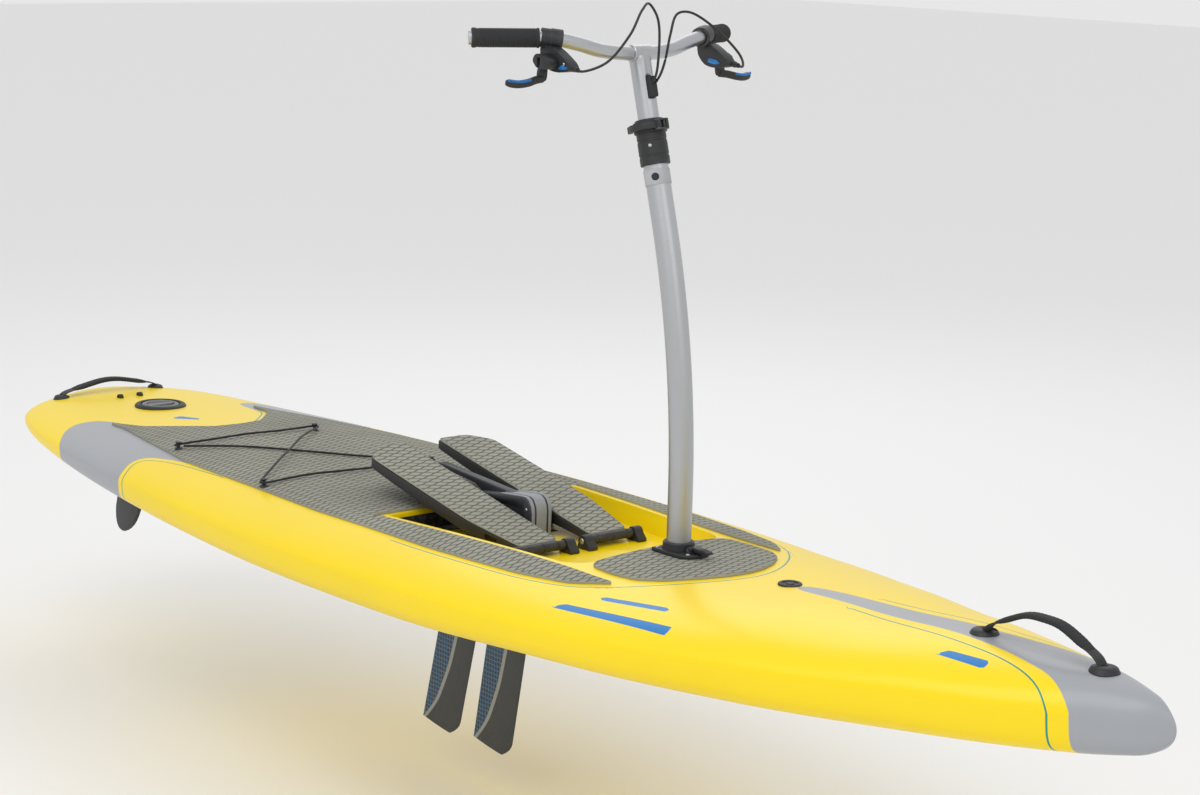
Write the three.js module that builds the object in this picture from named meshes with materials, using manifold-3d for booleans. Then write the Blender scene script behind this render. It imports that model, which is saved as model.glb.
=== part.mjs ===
// Pedal boat: a stand-up board with a handlebar column, two stepping pedals that
// drive a pair of sweeping fins under the hull, and a rudder worked by two hand levers.
// Millimetres. +X to the bow, +Y to port, +Z up. Lengths along the board are measured
// from amidships and heights from the lowest point of the loft; the finished group is then
// shifted so that the origin is on the flat keel face just forward of the drive well.
import * as THREE from "three";
import { mergeVertices } from "three/addons/utils/BufferGeometryUtils.js";
import Module from "manifold-3d";

const wasm = await Module();
wasm.setup();

// ---------------------------------------------------------------- driving dimensions

const ORIGIN = { x: 150, z: 10 };  // keel face point that becomes the origin
const GAP = 0.3;                   // clearance left between pieces that touch

const HULL = {
  half: 1600,        // half the overall length
  rings: 22,         // divisions from stern to bow
  ring: 32,          // divisions around the section
  rail: 0.508,       // height of the widest point, as a share of the thickness
  topPower: 2,       // section exponent of the deck
  keelPower: 4,      // section exponent of the bottom
  beam: [[-1600, 81], [-1585, 114], [-1550, 195], [-1480, 251], [-1300, 304], [-1000, 352],
    [-600, 392], [-200, 414], [200, 404], [600, 360], [900, 286], [1150, 203], [1350, 130],
    [1480, 71], [1560, 32], [1600, 8]],
  deck: [[-1600, 144], [-1300, 146], [-900, 159], [-400, 168], [100, 173], [490, 169],
    [770, 177], [900, 184], [1030, 187], [1200, 195], [1450, 193], [1600, 169]],
  keel: [[-1600, 90], [-1300, 62], [-900, 31], [-400, 12], [100, 8], [490, 21],
    [900, 29], [1200, 45], [1450, 67], [1600, 94]],
  keelFace: 10,      // height of the flat face under the middle of the bottom
};
const FOOTWELL = { aft: -860, front: -112, aftZ: 161, frontZ: 150 };  // flattened rear deck
const RECESS = { aft: -112, front: 425, aftY: 232, frontY: 186, floor: 118 };
const DRIVE_SLOT = { aft: -205, front: 98, half: 34 };
const ROCKER_WELL = { front: -90, half: 200, floor: 62, narrowFront: 66, narrowHalf: 70 };
const PAD = 5;       // thickness of the deck padding

const PEDAL = {
  axleX: 205, axleZ: 134, tilt: 11.7, length: 505,
  inner: 38, outer: 155, frontOuter: 131, padThick: 5, axleRadius: 5.5, barrelRadius: 9,
};
const ROCKER = { x: 30, z: 100, rollerX: -85, rollerZ: 161.5, rollerRadius: 10 };
const FIN = { pivotZ: -4, tipZ: -345, chord: 122, thick: 12, rootZ: -16 };
const FIN_FRONT = { x: 78, rake: 60 };    // leading edge at the root, sweep-back to the tip
const FIN_REAR = { x: -72, rake: 80 };
const RUDDER = { x: -1402, bearingRadius: 9 };

const COLUMN = {
  x: 488, foot: 124, bendZ: 280, lean: 15.5, bendRadius: 1800, radius: 22.5, bore: 20.6,
  top: 128,          // length of the straight top stretch
};
const STEM = { radius: 19.3, low: 32, high: 306 };   // along the column's top axis
const COLLAR = { low: 108, high: 190, radius: 27 };
const BAR = { radius: 12.7, gripRadius: 17.5 };

// ---------------------------------------------------------------- solids and helpers

const RAD = Math.PI / 180;
const up = new THREE.Vector3(0, 0, 1);
const vec = (x, y, z) => new THREE.Vector3(x, y, z);

/** Turns a closed three.js geometry into a manifold solid. */
function solid(geometry) {
  const plain = geometry.clone();
  for (const name of Object.keys(plain.attributes)) {
    if (name !== "position") plain.deleteAttribute(name);
  }
  const welded = mergeVertices(plain, 1e-4);
  return new wasm.Manifold(new wasm.Mesh({
    numProp: 3,
    vertProperties: new Float32Array(welded.attributes.position.array),
    triVerts: new Uint32Array(welded.index.array),
  }));
}

/** Turns a manifold solid back into a geometry. */
function geometryOf(body) {
  const mesh = body.getMesh();
  const geometry = new THREE.BufferGeometry();
  geometry.setAttribute("position", new THREE.BufferAttribute(new Float32Array(mesh.vertProperties), 3));
  geometry.setIndex(new THREE.BufferAttribute(new Uint32Array(mesh.triVerts), 1));
  geometry.computeVertexNormals();
  return geometry;
}

const join = (...bodies) => bodies.reduce((a, b) => a.add(b));

function box(x0, x1, y0, y1, z0, z1) {
  const geometry = new THREE.BoxGeometry(x1 - x0, y1 - y0, z1 - z0);
  return solid(geometry.translate((x0 + x1) / 2, (y0 + y1) / 2, (z0 + z1) / 2));
}

/** A rod, tapered where the radii differ, from one point to another. */
function rod(from, to, radius, endRadius = radius, sides = 20) {
  const axis = to.clone().sub(from);
  const geometry = new THREE.CylinderGeometry(endRadius, radius, axis.length(), sides);
  const turn = new THREE.Quaternion().setFromUnitVectors(vec(0, 1, 0), axis.normalize());
  geometry.applyQuaternion(turn);
  return solid(geometry.translate(...from.clone().lerp(to, 0.5).toArray()));
}

function outline(points) {
  return new THREE.Shape(points.map(([a, b]) => new THREE.Vector2(a, b)));
}

/** An upright prism over an outline in X and Y. */
function prism(shape, z0, z1) {
  const geometry = new THREE.ExtrudeGeometry(shape, { depth: z1 - z0, bevelEnabled: false, curveSegments: 6 });
  return solid(geometry.translate(0, 0, z0));
}

/** A prism across the board over an outline in X and Z. */
function crossPrism(shape, y0, y1) {
  const geometry = new THREE.ExtrudeGeometry(shape, { depth: y1 - y0, bevelEnabled: false, curveSegments: 6 });
  return solid(geometry.rotateX(Math.PI / 2).translate(0, y1, 0));
}

/** A solid swept along a curve with a given section. */
function sweep(curve, section, steps) {
  return solid(new THREE.ExtrudeGeometry(section, { extrudePath: curve, steps, curveSegments: 4 }));
}

function disc(radius, sides = 10) {
  const points = [];
  for (let i = 0; i < sides; i += 1) {
    const angle = (i / sides) * 2 * Math.PI;
    points.push([radius * Math.cos(angle), radius * Math.sin(angle)]);
  }
  return outline(points);
}

const smooth = (points) => new THREE.CatmullRomCurve3(points, false, "centripetal");

/** Monotone cubic interpolation through a table of [x, value] rows. */
function along(table, x) {
  const last = table.length - 1;
  if (x <= table[0][0]) return table[0][1];
  if (x >= table[last][0]) return table[last][1];
  const slope = (i) => (table[i + 1][1] - table[i][1]) / (table[i + 1][0] - table[i][0]);
  const tangent = (i) => {
    if (i === 0) return slope(0);
    if (i === last) return slope(last - 1);
    const [a, b] = [slope(i - 1), slope(i)];
    return a * b <= 0 ? 0 : (2 * a * b) / (a + b);
  };
  const i = table.findIndex((row, k) => k < last && x < table[k + 1][0]);
  const width = table[i + 1][0] - table[i][0];
  const t = (x - table[i][0]) / width;
  const [t2, t3] = [t * t, t * t * t];
  return (2 * t3 - 3 * t2 + 1) * table[i][1] + (t3 - 2 * t2 + t) * width * tangent(i)
    + (3 * t2 - 2 * t3) * table[i + 1][1] + (t3 - t2) * width * tangent(i + 1);
}

// ---------------------------------------------------------------- hull form

/** Height of the deck, before any cut, at a place on the board. */
function deckAt(x, y) {
  const [w, top, low] = [along(HULL.beam, x), along(HULL.deck, x), along(HULL.keel, x)];
  const rail = low + (top - low) * HULL.rail;
  const share = Math.min(1, Math.abs(y) / w);
  return rail + (top - rail) * Math.sqrt(1 - share * share);
}

/** The lofted board, grown outward by a margin, with poles at stern and bow. */
function loft(grow) {
  const geometry = new THREE.SphereGeometry(1, HULL.ring, HULL.rings);
  const position = geometry.attributes.position;
  for (let i = 0; i < position.count; i += 1) {
    const [px, py, pz] = [position.getX(i), position.getY(i), position.getZ(i)];
    const x = HULL.half * Math.max(-1, Math.min(1, py));
    const reach = Math.hypot(px, pz);
    const [top, low] = [along(HULL.deck, x), along(HULL.keel, x)];
    const rail = low + (top - low) * HULL.rail;
    if (reach < 1e-6) {
      position.setXYZ(i, x + Math.sign(x) * grow, 0, rail);
      continue;
    }
    const [across, high] = [pz / reach, px / reach];
    const power = 2 / (high > 0 ? HULL.topPower : HULL.keelPower);
    const height = (high > 0 ? top - rail : rail - low) + grow;
    const y = (along(HULL.beam, x) + grow) * Math.sign(across) * Math.abs(across) ** power;
    const z = rail + height * Math.sign(high) * Math.abs(high) ** power;
    position.setXYZ(i, x, y, z);
  }
  return solid(geometry);
}

/** The loft with its rear deck flattened for the feet. */
function deckForm(grow) {
  const wedge = outline([[FOOTWELL.aft, FOOTWELL.aftZ + grow], [FOOTWELL.front + 20, FOOTWELL.frontZ + grow],
    [FOOTWELL.front + 20, 260], [FOOTWELL.aft, 260]]);
  return loft(grow).subtract(crossPrism(wedge, -300, 300));
}

const recessShape = new THREE.Shape();
recessShape.moveTo(RECESS.aft, -RECESS.aftY);
recessShape.lineTo(RECESS.front - 60, -RECESS.frontY);
recessShape.quadraticCurveTo(RECESS.front, -RECESS.frontY + 4, RECESS.front, -RECESS.frontY + 60);
recessShape.lineTo(RECESS.front, RECESS.frontY - 60);
recessShape.quadraticCurveTo(RECESS.front, RECESS.frontY - 4, RECESS.front - 60, RECESS.frontY);
recessShape.lineTo(RECESS.aft, RECESS.aftY);
recessShape.closePath();

const HATCH = { x: -1300, radius: 59, cover: 44, floor: 96 };
const VENT = { x: 775, radius: 21.5 };
const SOCKET_RADIUS = COLUMN.radius + 0.5;

function makeHull() {
  const cuts = [
    prism(recessShape, RECESS.floor, 300),
    box(DRIVE_SLOT.aft, DRIVE_SLOT.front, -DRIVE_SLOT.half, DRIVE_SLOT.half, -20, 78),
    box(RECESS.aft + 2, DRIVE_SLOT.front, -DRIVE_SLOT.half, DRIVE_SLOT.half, 60, 130),
    box(RECESS.aft + 2, ROCKER_WELL.front, -ROCKER_WELL.half, ROCKER_WELL.half, ROCKER_WELL.floor, 130),
    box(RECESS.aft + 2, ROCKER_WELL.narrowFront, -ROCKER_WELL.narrowHalf, ROCKER_WELL.narrowHalf,
      ROCKER_WELL.floor, 130),
    rod(vec(COLUMN.x, 0, COLUMN.foot - 4), vec(COLUMN.x, 0, 220), SOCKET_RADIUS, SOCKET_RADIUS, 32),
    rod(vec(HATCH.x, 0, HATCH.floor), vec(HATCH.x, 0, 180), HATCH.cover + 4.3, HATCH.cover + 4.3, 32),
    rod(vec(VENT.x, 0, 162), vec(VENT.x, 0, 220), VENT.radius - 5, VENT.radius - 5, 20),
    rod(vec(RUDDER.x, 0, 0), vec(RUDDER.x, 0, 110), RUDDER.bearingRadius + GAP, RUDDER.bearingRadius + GAP, 20),
    box(-700, 700, -500, 500, -30, HULL.keelFace),
  ];
  return cuts.reduce((hull, cut) => hull.subtract(cut), deckForm(0));
}

/** A sheet of deck padding that follows the deck inside an outline. */
function makePad(shape) {
  return prism(shape, 90, 240).intersect(deckForm(PAD + GAP)).subtract(deckForm(GAP));
}

/** Points of a half outline, joined to their mirror image in Y. */
function mirrored(half) {
  const other = half.slice().reverse().map(([x, y]) => [x, -y]);
  return outline([...half, ...other.filter(([, y]) => y !== 0)]);
}

// ---------------------------------------------------------------- pedals and drive

const pedalSlope = Math.tan(PEDAL.tilt * RAD);
const padTopAt = (x) => PEDAL.axleZ + 8 + (PEDAL.axleX - x) * pedalSlope;
const PEDAL_REAR = PEDAL.axleX - PEDAL.length * Math.cos(PEDAL.tilt * RAD);

/** The pedal's outline from above; side is -1 to starboard and 1 to port. */
function pedalShape(side, inset) {
  const rear = PEDAL_REAR + inset;
  const [inner, outer] = [PEDAL.inner + inset, PEDAL.outer - inset];
  const points = [[PEDAL.axleX - 2, inner], [rear + 4, inner], [rear, inner + 8], [rear, outer - 42],
    [rear + 34, outer - 6], [rear + 46, outer], [62, outer], [PEDAL.axleX - 2, PEDAL.frontOuter - inset]];
  return outline(points.map(([x, y]) => [x, side * y]));
}

/** The tray under the tread: side view with a deeper middle, cut to the plan outline. */
function makePedalTray(side) {
  const top = (x) => padTopAt(x) - PEDAL.padThick - GAP;
  const rear = PEDAL_REAR - 4;
  const profile = outline([[PEDAL.axleX + 4, top(PEDAL.axleX + 4)], [rear, top(rear)], [rear, top(rear) - 15],
    [-180, top(-180) - 20], [-60, top(-60) - 23], [80, top(80) - 21], [160, PEDAL.axleZ - 2],
    [PEDAL.axleX + 4, PEDAL.axleZ - 8]]);
  const skirt = crossPrism(profile, -200, 200).intersect(prism(pedalShape(side, 0), 80, 300));
  const [a, b] = [side * (PEDAL.inner - 4), side * (PEDAL.frontOuter + 3)];
  const barrel = rod(vec(PEDAL.axleX, a, PEDAL.axleZ), vec(PEDAL.axleX, b, PEDAL.axleZ), PEDAL.barrelRadius);
  const bore = rod(vec(PEDAL.axleX, -200, PEDAL.axleZ), vec(PEDAL.axleX, 200, PEDAL.axleZ),
    PEDAL.axleRadius + GAP, PEDAL.axleRadius + GAP, 24);
  return join(skirt, barrel).subtract(bore);
}

function makePedalTread(side) {
  const rear = PEDAL_REAR - 4;
  const front = PEDAL.axleX - 10;
  const profile = outline([[front, padTopAt(front)], [rear, padTopAt(rear)],
    [rear, padTopAt(rear) - PEDAL.padThick], [front, padTopAt(front) - PEDAL.padThick]]);
  return crossPrism(profile, -200, 200).intersect(prism(pedalShape(side, 2), 80, 300));
}

/** A bearing block on the recess floor that carries the pedal axle. */
function makeAxleBracket(y0, y1) {
  const { axleX: x, axleZ: z, axleRadius } = PEDAL;
  const foot = box(x - 14, x + 22, y0, y1, RECESS.floor + GAP, z - 2);
  const eye = rod(vec(x, y0, z), vec(x, y1, z), 11.5, 11.5, 24);
  const clear = box(x - 40, x + 60, -300, 300, RECESS.floor - 20, RECESS.floor + GAP);
  const bore = rod(vec(x, -300, z), vec(x, 300, z), axleRadius + GAP, axleRadius + GAP, 24);
  return join(foot, eye).subtract(bore).subtract(clear);
}

/** The drive frame: fills the slot, rises between the pedals and carries the fin shaft on narrow legs. */
function makeDriveFrame() {
  const half = DRIVE_SLOT.half - 7;
  const core = outline([[-100, 30], [90, 30], [96, 60], [97, 176], [90, 196], [70, 199], [20, 195], [-70, 184],
    [-100, 168]]);
  const tail = outline([[20, 186], [20, 195], [-200, 211], [-224, 211], [-224, 204], [-100, 192], [-70, 176]]);
  const leg = (x0, x1) => join(box(x0, x1, -8.5, 8.5, FIN.pivotZ, 60),
    rod(vec(x0, 0, FIN.pivotZ), vec(x1, 0, FIN.pivotZ), 9.2, 9.2, 24));
  const legs = [leg(-186, -174), leg(-64, -52), leg(90, 96)];
  const beam = box(-186, 96, -18, 18, 40, 60);
  const shaft = rod(vec(-300, 0, FIN.pivotZ), vec(300, 0, FIN.pivotZ), 5 + GAP, 5 + GAP, 20);
  const hub = rod(vec(ROCKER.x, -60, ROCKER.z), vec(ROCKER.x, 60, ROCKER.z), 8 + GAP, 8 + GAP, 24);
  const body = join(crossPrism(core, -half, half), crossPrism(tail, -10, 10), beam, ...legs);
  return body.subtract(shaft).subtract(hub);
}

/** The rocker that a pedal bears on: hub, raised arm and a round bearing bar across its end. */
function makeRocker(side) {
  const { x, z, rollerX, rollerZ, rollerRadius } = ROCKER;
  const arm = outline([[x - 14, z - 10], [x + 12, z - 8], [x + 10, z + 12], [rollerX + 20, rollerZ - 2],
    [rollerX - 2, rollerZ + 6], [rollerX - 8, rollerZ - 2], [rollerX, rollerZ - 9], [x - 50, z + 8]]);
  const [inner, outer] = [DRIVE_SLOT.half - 6, DRIVE_SLOT.half + 8];
  const plate = crossPrism(arm, Math.min(side * inner, side * outer), Math.max(side * inner, side * outer));
  const roller = rod(vec(rollerX, side * inner, rollerZ), vec(rollerX, side * 66, rollerZ), rollerRadius);
  const bore = rod(vec(x, -80, z), vec(x, 80, z), 8 + GAP, 8 + GAP, 24);
  return join(plate, roller).subtract(bore);
}

/** A raked, tapering lens-section blade with a trimmed tip, and the barrel it hangs from. */
function makeFin(place) {
  const { chord, thick, rootZ, tipZ, pivotZ } = FIN;
  const trail = place.x - chord;
  const lens = new THREE.Shape();
  lens.moveTo(trail, 0.7);
  lens.quadraticCurveTo(place.x - 0.5 * chord, 0.72 * thick, place.x - 0.08 * chord, 0.4 * thick);
  lens.quadraticCurveTo(place.x, 0.3 * thick, place.x, 0);
  lens.quadraticCurveTo(place.x, -0.3 * thick, place.x - 0.08 * chord, -0.4 * thick);
  lens.quadraticCurveTo(place.x - 0.5 * chord, -0.72 * thick, trail, -0.7);
  const geometry = new THREE.ExtrudeGeometry(lens, { depth: rootZ - tipZ, bevelEnabled: false, curveSegments: 5 });
  geometry.translate(0, 0, tipZ);
  const position = geometry.attributes.position;
  for (let i = 0; i < position.count; i += 1) {
    const share = (rootZ - position.getZ(i)) / (rootZ - tipZ);
    position.setX(i, position.getX(i) - place.rake * share);
    position.setY(i, position.getY(i) * (1 - 0.5 * share));
  }
  const [tipLead, tipTrail] = [place.x - place.rake, trail - place.rake];
  const trim = new THREE.Shape();
  trim.moveTo(tipLead + 30, tipZ - 20);
  trim.lineTo(tipLead + 30, tipZ + 40);
  trim.lineTo(tipLead + 4, tipZ + 30);
  trim.quadraticCurveTo(tipLead - 4, tipZ + 5, tipLead - 30, tipZ + 0.5);
  trim.lineTo(tipTrail - 10, tipZ + 16);
  trim.lineTo(tipTrail - 10, tipZ - 20);
  trim.closePath();
  const blade = solid(geometry).subtract(crossPrism(trim, -20, 20));
  const barrel = rod(vec(place.x - 95, 0, pivotZ), vec(place.x - 6, 0, pivotZ), 11, 11, 24);
  const neck = box(place.x - 90, place.x - 10, -3.5, 3.5, rootZ + GAP, pivotZ);
  const bore = rod(vec(-400, 0, pivotZ), vec(400, 0, pivotZ), 5 + GAP, 5 + GAP, 20);
  return { blade, hub: join(barrel, neck).subtract(bore) };
}

/** The rudder: a stock in the hull bearing over a short blade with a rounded heel. */
function makeRudder() {
  const x = RUDDER.x;
  const plan = new THREE.Shape();
  plan.moveTo(x + 40, 48);
  plan.lineTo(x + 26, -60);
  plan.quadraticCurveTo(x + 6, -166, x - 62, -186);
  plan.quadraticCurveTo(x - 104, -190, x - 98, -130);
  plan.lineTo(x - 52, 40);
  plan.closePath();
  const stock = rod(vec(x, 0, 30), vec(x, 0, 92), 6, 6, 20);
  return join(crossPrism(plan, -5, 5), stock);
}

// ---------------------------------------------------------------- column and handlebar

const lean = COLUMN.lean * RAD;
const bendEnd = vec(COLUMN.x - COLUMN.bendRadius * (1 - Math.cos(lean)), 0,
  COLUMN.bendZ + COLUMN.bendRadius * Math.sin(lean));
const stemAxis = vec(-Math.sin(lean), 0, Math.cos(lean));
const stemAt = (s) => bendEnd.clone().addScaledVector(stemAxis, s);

/** Upright, then bending aft on a long radius, then straight. */
class ColumnPath extends THREE.Curve {
  constructor(top) {
    super();
    this.lower = COLUMN.bendZ - COLUMN.foot;
    this.bend = COLUMN.bendRadius * lean;
    this.total = this.lower + this.bend + top;
  }

  getPoint(t, target = new THREE.Vector3()) {
    const s = t * this.total;
    if (s < this.lower) return target.set(COLUMN.x, 0, COLUMN.foot + s);
    if (s < this.lower + this.bend) {
      const angle = (s - this.lower) / COLUMN.bendRadius;
      return target.set(COLUMN.x - COLUMN.bendRadius * (1 - Math.cos(angle)), 0,
        COLUMN.bendZ + COLUMN.bendRadius * Math.sin(angle));
    }
    return target.copy(stemAt(s - this.lower - this.bend));
  }
}

function makeColumn() {
  const outer = sweep(new ColumnPath(COLUMN.top), disc(COLUMN.radius, 20), 10);
  return outer.subtract(rod(stemAt(-12), stemAt(COLUMN.top + 20), COLUMN.bore, COLUMN.bore, 24));
}

/** A round ring between two places on the top axis. */
function band(low, high, radius, hole) {
  const outer = rod(stemAt(low), stemAt(high), radius, radius, 20);
  return outer.subtract(rod(stemAt(low - 5), stemAt(high + 5), hole, hole, 20));
}

/** Collar: a sleeve over the column end, a throat on the stem, and a clamp lug at the front. */
function makeCollar() {
  const { low, high, radius } = COLLAR;
  const sleeve = rod(stemAt(low), stemAt(high), radius, radius - 1, 20);
  const flange = rod(stemAt(high - 24), stemAt(high - 4), radius + 3, radius + 3, 20);
  const plates = [-9.5, 6.6].map((z) => box(30, 44, -18, 9, z, z + 2.9));
  const pin = rod(vec(38, -13, -9), vec(38, -13, 9), 2.5, 2.5, 12);
  const lug = join(box(24, 44, -5, 9, -7, 7), pin, ...plates)
    .rotate([0, -COLUMN.lean, 0])
    .translate(stemAt(high - 14).toArray());
  const wide = rod(stemAt(low - 5), stemAt(COLUMN.top + GAP), COLUMN.radius + GAP, COLUMN.radius + GAP, 20);
  const throat = rod(stemAt(low), stemAt(high + 5), STEM.radius + GAP, STEM.radius + GAP, 20);
  return join(sleeve, flange, lug).subtract(wide).subtract(throat);
}

/** Quick-release lever: a curved blade lying round the flange from an ear beside the lug. */
function makeHeightLever() {
  const [inner, outer] = [COLLAR.radius + 4.5, COLLAR.radius + 11];
  const shape = new THREE.Shape();
  shape.absarc(0, 0, outer, -22 * RAD, -140 * RAD, true);
  shape.absarc(0, 0, inner, -140 * RAD, -22 * RAD, false);
  shape.closePath();
  const blade = prism(shape, -6, 6);
  const ear = box(outer - 6, 43, -17, -9, -6, 6);
  const hole = rod(vec(38, -13, -9), vec(38, -13, 9), 2.5 + GAP, 2.5 + GAP, 12);
  return join(blade, ear).subtract(hole).rotate([0, -COLUMN.lean, 0]).translate(stemAt(COLLAR.high - 14).toArray());
}

/** Half of the handlebar from the centre to the grip's outer end; side 1 is port. */
function barPath(side) {
  const points = [[342, 0, 1060], [341, 20, 1060], [334, 85, 1066], [326, 132, 1078], [313, 180, 1087],
    [286.3, 220.7, 1086.7], [259.7, 261.3, 1086.3], [233, 302, 1086]];
  return smooth(points.map(([x, y, z]) => vec(x, side * y, z)));
}

const gripFrom = (side) => vec(301, side * 199, 1087.6);
const gripTo = (side) => vec(236, side * 298, 1086);

function makeHandlebar() {
  const halves = [-1, 1].map((side) => sweep(barPath(side), disc(BAR.radius, 12), 12));
  const socket = rod(stemAt(STEM.high - 22), stemAt(STEM.high + 6), 17, 17, 20);
  const joint = box(328, 356, -1, 1, 1052, 1068);
  return join(...halves, joint).subtract(socket).subtract(box(300, 380, -40, 40, 1000, 1046));
}

function makeGrip(side) {
  const outer = rod(gripFrom(side), gripTo(side), BAR.gripRadius, BAR.gripRadius, 20);
  const bore = rod(vec(326.1, side * 160, 1087.2), vec(229.7, side * 307, 1086), BAR.radius + 3 * GAP,
    BAR.radius + 3 * GAP, 20);
  return outer.subtract(bore);
}

/** Lever housing: a clamp on the bar and a triangular body hanging below it to the front. */
function makeLeverHousing(side) {
  const clamp = rod(vec(321, side * 164, 1084.4), vec(310, side * 182, 1087), 18.5, 18.5, 24);
  const body = outline([[300, 1078], [336, 1074], [381, 1048], [386, 1036], [352, 1030], [322, 1034], [302, 1052]]);
  const slab = crossPrism(body, side > 0 ? 176 : -196, side > 0 ? 196 : -176);
  const arm = outline([[318, 1064], [352, 1052], [350, 1036], [322, 1036], [308, 1050]]);
  const cheek = crossPrism(arm, side > 0 ? 195 : -220, side > 0 ? 220 : -195);
  const slot = box(322, 330, Math.min(side * 197.4, side * 230), Math.max(side * 197.4, side * 230), 1000, 1056);
  const pin = rod(vec(312, side * 208, 1045), vec(346, side * 208, 1045), 2.2, 2.2, 12);
  const barrel = rod(vec(372, side * 190, 1042), vec(398, side * 190, 1038), 5, 4.6, 16);
  const bore = sweep(barPath(side), disc(BAR.radius + GAP, 12), 12);
  const wire = rod(vec(386, side * 190, 1040), vec(410, side * 190, 1036.2), 3.4, 3.4, 16);
  return join(join(clamp, slab, cheek, barrel).subtract(slot), pin).subtract(bore).subtract(wire);
}

/** Finger lever: an ear in the housing's slot and a blade curving out under the grip. */
function makeBrakeLever(side) {
  const ear = new THREE.Shape([[200, 1048], [208, 1053], [216, 1048], [222, 1024], [214, 1012], [202, 1016]]
    .map(([y, z]) => new THREE.Vector2(side * y, z)));
  const geometry = new THREE.ExtrudeGeometry(ear, { depth: 7.2, bevelEnabled: false });
  geometry.applyMatrix4(new THREE.Matrix4().set(0, 0, 1, 322.4, 1, 0, 0, 0, 0, 1, 0, 0, 0, 0, 0, 1));
  const hole = rod(vec(300, side * 208, 1045), vec(350, side * 208, 1045), 2.5, 2.5, 12);
  const path = smooth([[326, 210, 1019], [329, 228, 1017], [332, 247, 1013], [330, 268, 1011], [324, 290, 1014]]
    .map(([x, y, z]) => vec(x, side * y, z)));
  const section = outline([[-3, -7], [3, -6], [3, 6], [-3, 7], [-5, 4], [-5, -4]]);
  return join(solid(geometry), sweep(path, section, 8)).subtract(hole);
}

/** Route of a control cable: from its housing up over the bar and down into the stem's front. */
function cablePath(side) {
  const points = side < 0
    ? [[389, -190, 1039.5], [410, -189, 1036.6], [436, -160, 1052], [432, -104, 1098], [404, -52, 1140],
      [388, -22, 1150], [394, -6, 1124], [398, -5, 1060], [388, -4, 1018], [364, -4, 1000]]
    : [[389, 190, 1039.5], [409, 189, 1036.8], [432, 160, 1060], [424, 104, 1108], [412, 52, 1136],
      [408, 26, 1132], [408, 12, 1096], [404, 5, 1050], [390, 4, 1020], [364, 4, 1000]];
  return smooth(points.map((p) => vec(...p)));
}

const makeCable = (side) => sweep(cablePath(side), disc(2.3, 5), 26);

function makeStem() {
  const tube = rod(stemAt(STEM.low), stemAt(STEM.high), STEM.radius, STEM.radius, 24);
  const bore = rod(stemAt(STEM.low - 5), stemAt(STEM.high + 5), STEM.radius - 2.2, STEM.radius - 2.2, 24);
  const saddle = join(...[-1, 1].map((side) => sweep(barPath(side), disc(BAR.radius + GAP, 12), 12)));
  return tube.subtract(bore).subtract(saddle).subtract(grommetCore(GAP));
}

/** The oval block in the stem's front wall where the cables go in. */
function grommetCore(grow) {
  const block = box(-9 - grow, 9 + grow, -8 - grow, 8 + grow, -19 - grow, 19 + grow);
  return block.rotate([0, -COLUMN.lean, 0]).translate(stemAt(246).add(vec(19, 0, 5)).toArray());
}

function makeGrommet(cables) {
  return cables.reduce((body, cable) => body.subtract(cable), grommetCore(0));
}

// ---------------------------------------------------------------- deck fittings

/** A padded carrying strap arched between two points on the deck. */
function makeStrap(from, to, rise, width, thick) {
  const across = to.clone().sub(from);
  const at = (t, lift) => from.clone().addScaledVector(across, t).addScaledVector(up, lift);
  const path = smooth([at(0, 0), at(0.14, rise * 0.42), at(0.34, rise * 0.92), at(0.5, rise), at(0.66, rise * 0.92),
    at(0.86, rise * 0.42), at(1, 0)]);
  const section = outline([[-width / 2, -thick / 2], [width / 2, -thick / 2], [width / 2, thick / 2],
    [-width / 2, thick / 2]]);
  return sweep(path, section, 18);
}

/** A low domed cap that holds a strap end down, lying on the deck. */
function makeStrapCap(x, y, radius, height) {
  const profile = [[0, 0], [radius, 0], [radius, 3], [radius - 5, height - 2], [radius - 11, height], [0, height]];
  const dome = new THREE.LatheGeometry(profile.map(([a, b]) => new THREE.Vector2(a, b)), 20);
  dome.rotateX(Math.PI / 2).translate(x, y, deckAt(x, y) - 4);
  return solid(dome).subtract(deckForm(GAP));
}

/** Height of the padding's top surface. */
function padTop(x, y) {
  const share = (x - FOOTWELL.front) / (FOOTWELL.aft - FOOTWELL.front);
  const flat = FOOTWELL.frontZ + share * (FOOTWELL.aftZ - FOOTWELL.frontZ);
  const inside = x > FOOTWELL.aft && x < FOOTWELL.front;
  return (inside ? Math.min(flat, deckAt(x, y)) : deckAt(x, y)) + PAD;
}

/** A hook for the elastic cord: a round foot on the padding, a post and a head. */
function makeHook([x, y]) {
  const base = padTop(x, y);
  const foot = rod(vec(x, y, base - 6), vec(x, y, base + 2.5), 9, 8, 16);
  const post = rod(vec(x, y, base), vec(x, y, base + 14), 3.5, 3.5, 12);
  const head = rod(vec(x, y, base + 13), vec(x, y, base + 16), 7, 6, 16);
  return join(foot, post, head).subtract(deckForm(PAD + 2 * GAP));
}

const HOOKS = [[-847, -228], [-800, 88], [-448, -274], [-405, 110]];
const CORD = { radius: 2.4, wrap: 7.6, cross: [-600, -98] };

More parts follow.
